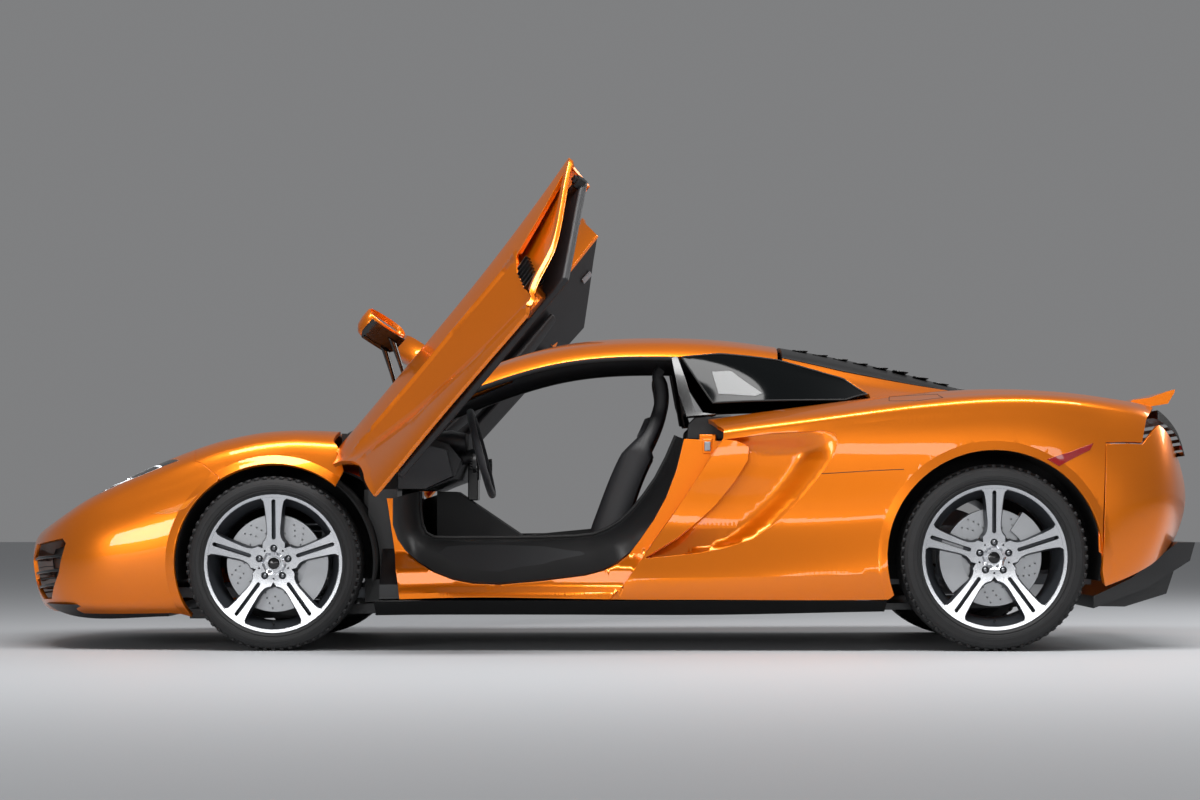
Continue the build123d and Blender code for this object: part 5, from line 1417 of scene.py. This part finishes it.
def seat_point(along, across, height):
    """Points over the seat's face, from distance along it, share of its half width and height off it."""
    along, across, height = np.broadcast_arrays(np.asarray(along, float), across, height)
    p = seat_curve(along.ravel())
    ahead = unit(seat_curve(along.ravel() + 2) - seat_curve(along.ravel() - 2))
    out = np.stack((-ahead[:, 1], ahead[:, 0]), 1)
    half = np.interp(along.ravel(), (0, 60, 350, 480, 850, 1000, SEAT_LENGTH),
                     (196, 218, 222, 222, 214, 122, 108))
    x = p[:, 0] + out[:, 0] * height.ravel()
    z = p[:, 1] + out[:, 1] * height.ravel()
    return np.stack((x, SEAT_Y + across.ravel() * half, z), 1)


def bolster_height(along, across):
    """Height of the seat's side bolsters, with a groove inside them and a fall at the outer edge."""
    rise = np.interp(along, (0, 40, 250, 420, 520, 800, 920, SEAT_LENGTH), (6, 26, 34, 58, 62, 50, 10, 4))
    u = np.abs(across)
    bump = np.sin(np.clip((u - 0.6) / 0.38, 0, 1) * math.pi) ** 0.75
    groove = 5.0 * np.exp(-((u - 0.61) / 0.02) ** 2)
    fall = 34.0 * np.clip((u - 0.93) / 0.07, 0, 1) ** 2
    return rise * bump - groove - fall


front_v = np.concatenate((np.linspace(-1, -0.58, 15), np.linspace(-0.5, 0.5, 7), np.linspace(0.58, 1, 15)))
back_v = np.linspace(0.94, -0.94, 9)
rings = []
for a in np.linspace(4, SEAT_LENGTH - 4, 60):
    end = min(a, SEAT_LENGTH - a)
    thick = np.interp(end, (0, 30, 80), (14, 44, 62)) * (1 - 0.3 * (a > 850))
    front = seat_point(np.full(len(front_v), a), front_v, bolster_height(a, front_v) - 2)
    rear = seat_point(np.full(len(back_v), a), back_v, -thick - 8 * (1 - back_v ** 2))
    rings.append(np.concatenate((front, rear)))
base = [slab((-396, 176, 214), (140, 564, 292)), slab((60, 200, 280), (190, 540, 520))]
for label, sign in SIDES:
    add_solid(f"seat_{label}_body", [shell_of(rings)], leather, "chassis", [f"seat_{label}"],
              sign, smooth=60)
    add_solid(f"seat_{label}_base", base, black_satin, "chassis", (), sign, bevel=14)


def pad_block(start, end, half, thick=13.0):
    """Low block on the seat's face, the plain shape that a sewn channel swells from."""
    a, v = np.meshgrid(np.linspace(start, end, 9), np.linspace(-half, half, 21), indexing="ij")
    edge = np.minimum(np.minimum(a - start, end - a) / 14.0, (half - np.abs(v)) / 0.05)
    rise = 3.0 + thick * np.clip(edge, 0, 1) ** 0.5
    top = seat_point(a, v, rise)
    low = seat_point(a, v, np.full(a.shape, -3.0))
    rows, cols = a.shape
    index = lambda i, j, layer: layer * rows * cols + i * cols + j
    faces = []
    for i in range(rows - 1):
        for j in range(cols - 1):
            faces.append((index(i, j, 0), index(i + 1, j, 0), index(i + 1, j + 1, 0), index(i, j + 1, 0)))
            faces.append((index(i, j, 1), index(i, j + 1, 1), index(i + 1, j + 1, 1), index(i + 1, j, 1)))
    rim = ([(i, 0) for i in range(rows)] + [(rows - 1, j) for j in range(1, cols)]
           + [(i, cols - 1) for i in range(rows - 2, -1, -1)] + [(0, j) for j in range(cols - 2, 0, -1)])
    for (i, j), (m, n) in zip(rim, rim[1:] + rim[:1]):
        faces.append((index(i, j, 0), index(m, n, 0), index(m, n, 1), index(i, j, 1)))
    return np.concatenate((top, low)), faces


def vertices_of(mesh):
    """Vertices of a mesh, (n, 3)."""
    flat = np.empty(len(mesh.vertices) * 3)
    mesh.vertices.foreach_get("co", flat)
    return flat.reshape(-1, 3)


def soften(obj):
    """Smooth the small creases out of a pad."""
    smooth = obj.modifiers.new("soft", "SMOOTH")
    smooth.factor, smooth.iterations = 0.5, 3


def swell(obj, voxel=6.0, pressure=4.0, cap=9.0, frames=20):
    """Voxel remesh, then cloth blown up from inside, with its movement held under a cap."""
    remesh = obj.modifiers.new("even", "REMESH")
    remesh.mode, remesh.voxel_size = "VOXEL", voxel * MM
    bpy.context.view_layer.update()
    depsgraph = bpy.context.evaluated_depsgraph_get()
    mesh = bpy.data.meshes.new_from_object(obj.evaluated_get(depsgraph))
    obj.modifiers.clear()
    obj.data = mesh
    start = vertices_of(mesh)
    cloth = obj.modifiers.new("cloth", "CLOTH")
    cloth.settings.quality = 4
    cloth.settings.use_pressure = True
    cloth.settings.uniform_pressure_force = pressure
    cloth.settings.effector_weights.gravity = 0.0
    cloth.settings.tension_stiffness = cloth.settings.compression_stiffness = 12.0
    for step_at in range(1, frames + 1):
        bpy.context.scene.frame_set(step_at)
    depsgraph = bpy.context.evaluated_depsgraph_get()
    moved = vertices_of(obj.evaluated_get(depsgraph).data) - start
    moved -= moved.mean(0)
    size = np.linalg.norm(moved, axis=1, keepdims=True)
    moved *= np.minimum(1.0, cap * MM / np.maximum(size, 1e-9))
    obj.modifiers.clear()
    bpy.context.scene.frame_set(1)
    mesh.vertices.foreach_set("co", (start + moved).ravel())
    soften(obj)
    mesh.polygons.foreach_set("use_smooth", [True] * len(mesh.polygons))
    mesh.update()
    return obj


HEAD_REST_FROM = 860      # distance along the seat's face where the head rest starts
CHANNELS = [(52, 128), (134, 210), (216, 292), (420, 506), (512, 598), (604, 690), (696, 782), (866, 985)]
for number, (start, end) in enumerate(CHANNELS):
    half = 0.565 if start < HEAD_REST_FROM else 0.7
    pad = swell(seed_of([pad_block(start, end, half)]))
    pad.name = f"seat_right_channel_{number + 1}"
    recoat(pad, suede)
    dress(pad, "chassis", ())
    twin = pad.data.copy()
    twin.transform(Matrix.Scale(-1, 4, (0, 1, 0)))
    twin.flip_normals()
    other = new_object(f"seat_left_channel_{number + 1}", twin)
    soften(other)
    dress(other, "chassis", ())


# ---------------------------------------------------------------- studio
CAMERA_PLACE = (140.5, -12645.0, 518.0)
CAMERA_LENS = 94.86
CAMERA_PITCH, CAMERA_YAW, CAMERA_ROLL = 2.01, 0.80, 0.0
# Each light's name, place and aim in metres, its two sides and its power.
LIGHTS = (("key", (0.3, -2.6, 5.2), (0, -0.2, 0.6), (7.5, 1.2), 430),
          ("front", (-7.5, -13.5, 2.6), (-1, 0, 0.5), (3.5, 2.5), 330),
          ("rear", (6.5, 2.5, 3.6), (1, 0, 0.6), (3.0, 3.0), 220),
          ("low", (0.5, -14.0, 2.0), (0, 0, 0.5), (10.0, 1.0), 170))


def studio():
    """Pale floor, soft lights and the camera."""
    scene = bpy.context.scene
    scene.view_settings.view_transform = "Standard"
    world = bpy.data.worlds.new("studio")
    scene.world = world
    world.use_nodes = True
    back = world.node_tree.nodes["Background"]
    back.inputs["Color"].default_value = srgb("EDEEF0")
    back.inputs["Strength"].default_value = 0.25
    floor_mesh = bpy.data.meshes.new("floor")
    floor_mesh.from_pydata([(-40, -40, 0), (40, -40, 0), (40, 40, 0), (-40, 40, 0)], [], [(0, 1, 2, 3)])
    floor = new_object("floor", floor_mesh)
    # painted studio floor: an even pale grey that takes soft shadows
    floor_mesh.materials.append(finish_of("pale_floor", "B9BBBE", rough=0.6))
    for name, place, aim, size, power in LIGHTS:
        lamp = bpy.data.lights.new(name, "AREA")
        lamp.shape, lamp.size, lamp.size_y, lamp.energy = "RECTANGLE", size[0], size[1], power
        obj = new_object(name, lamp)
        obj.location = place
        obj.rotation_euler = (Vector(aim) - Vector(place)).to_track_quat("-Z", "Y").to_euler()
    camera = bpy.data.cameras.new("camera")
    camera.lens = CAMERA_LENS
    camera.clip_end = 200
    view = new_object("camera", camera)
    view.location = Vector(CAMERA_PLACE) * MM
    view.rotation_euler = (math.radians(90 + CAMERA_PITCH), math.radians(CAMERA_ROLL),
                           math.radians(CAMERA_YAW))
    scene.camera = view


studio()
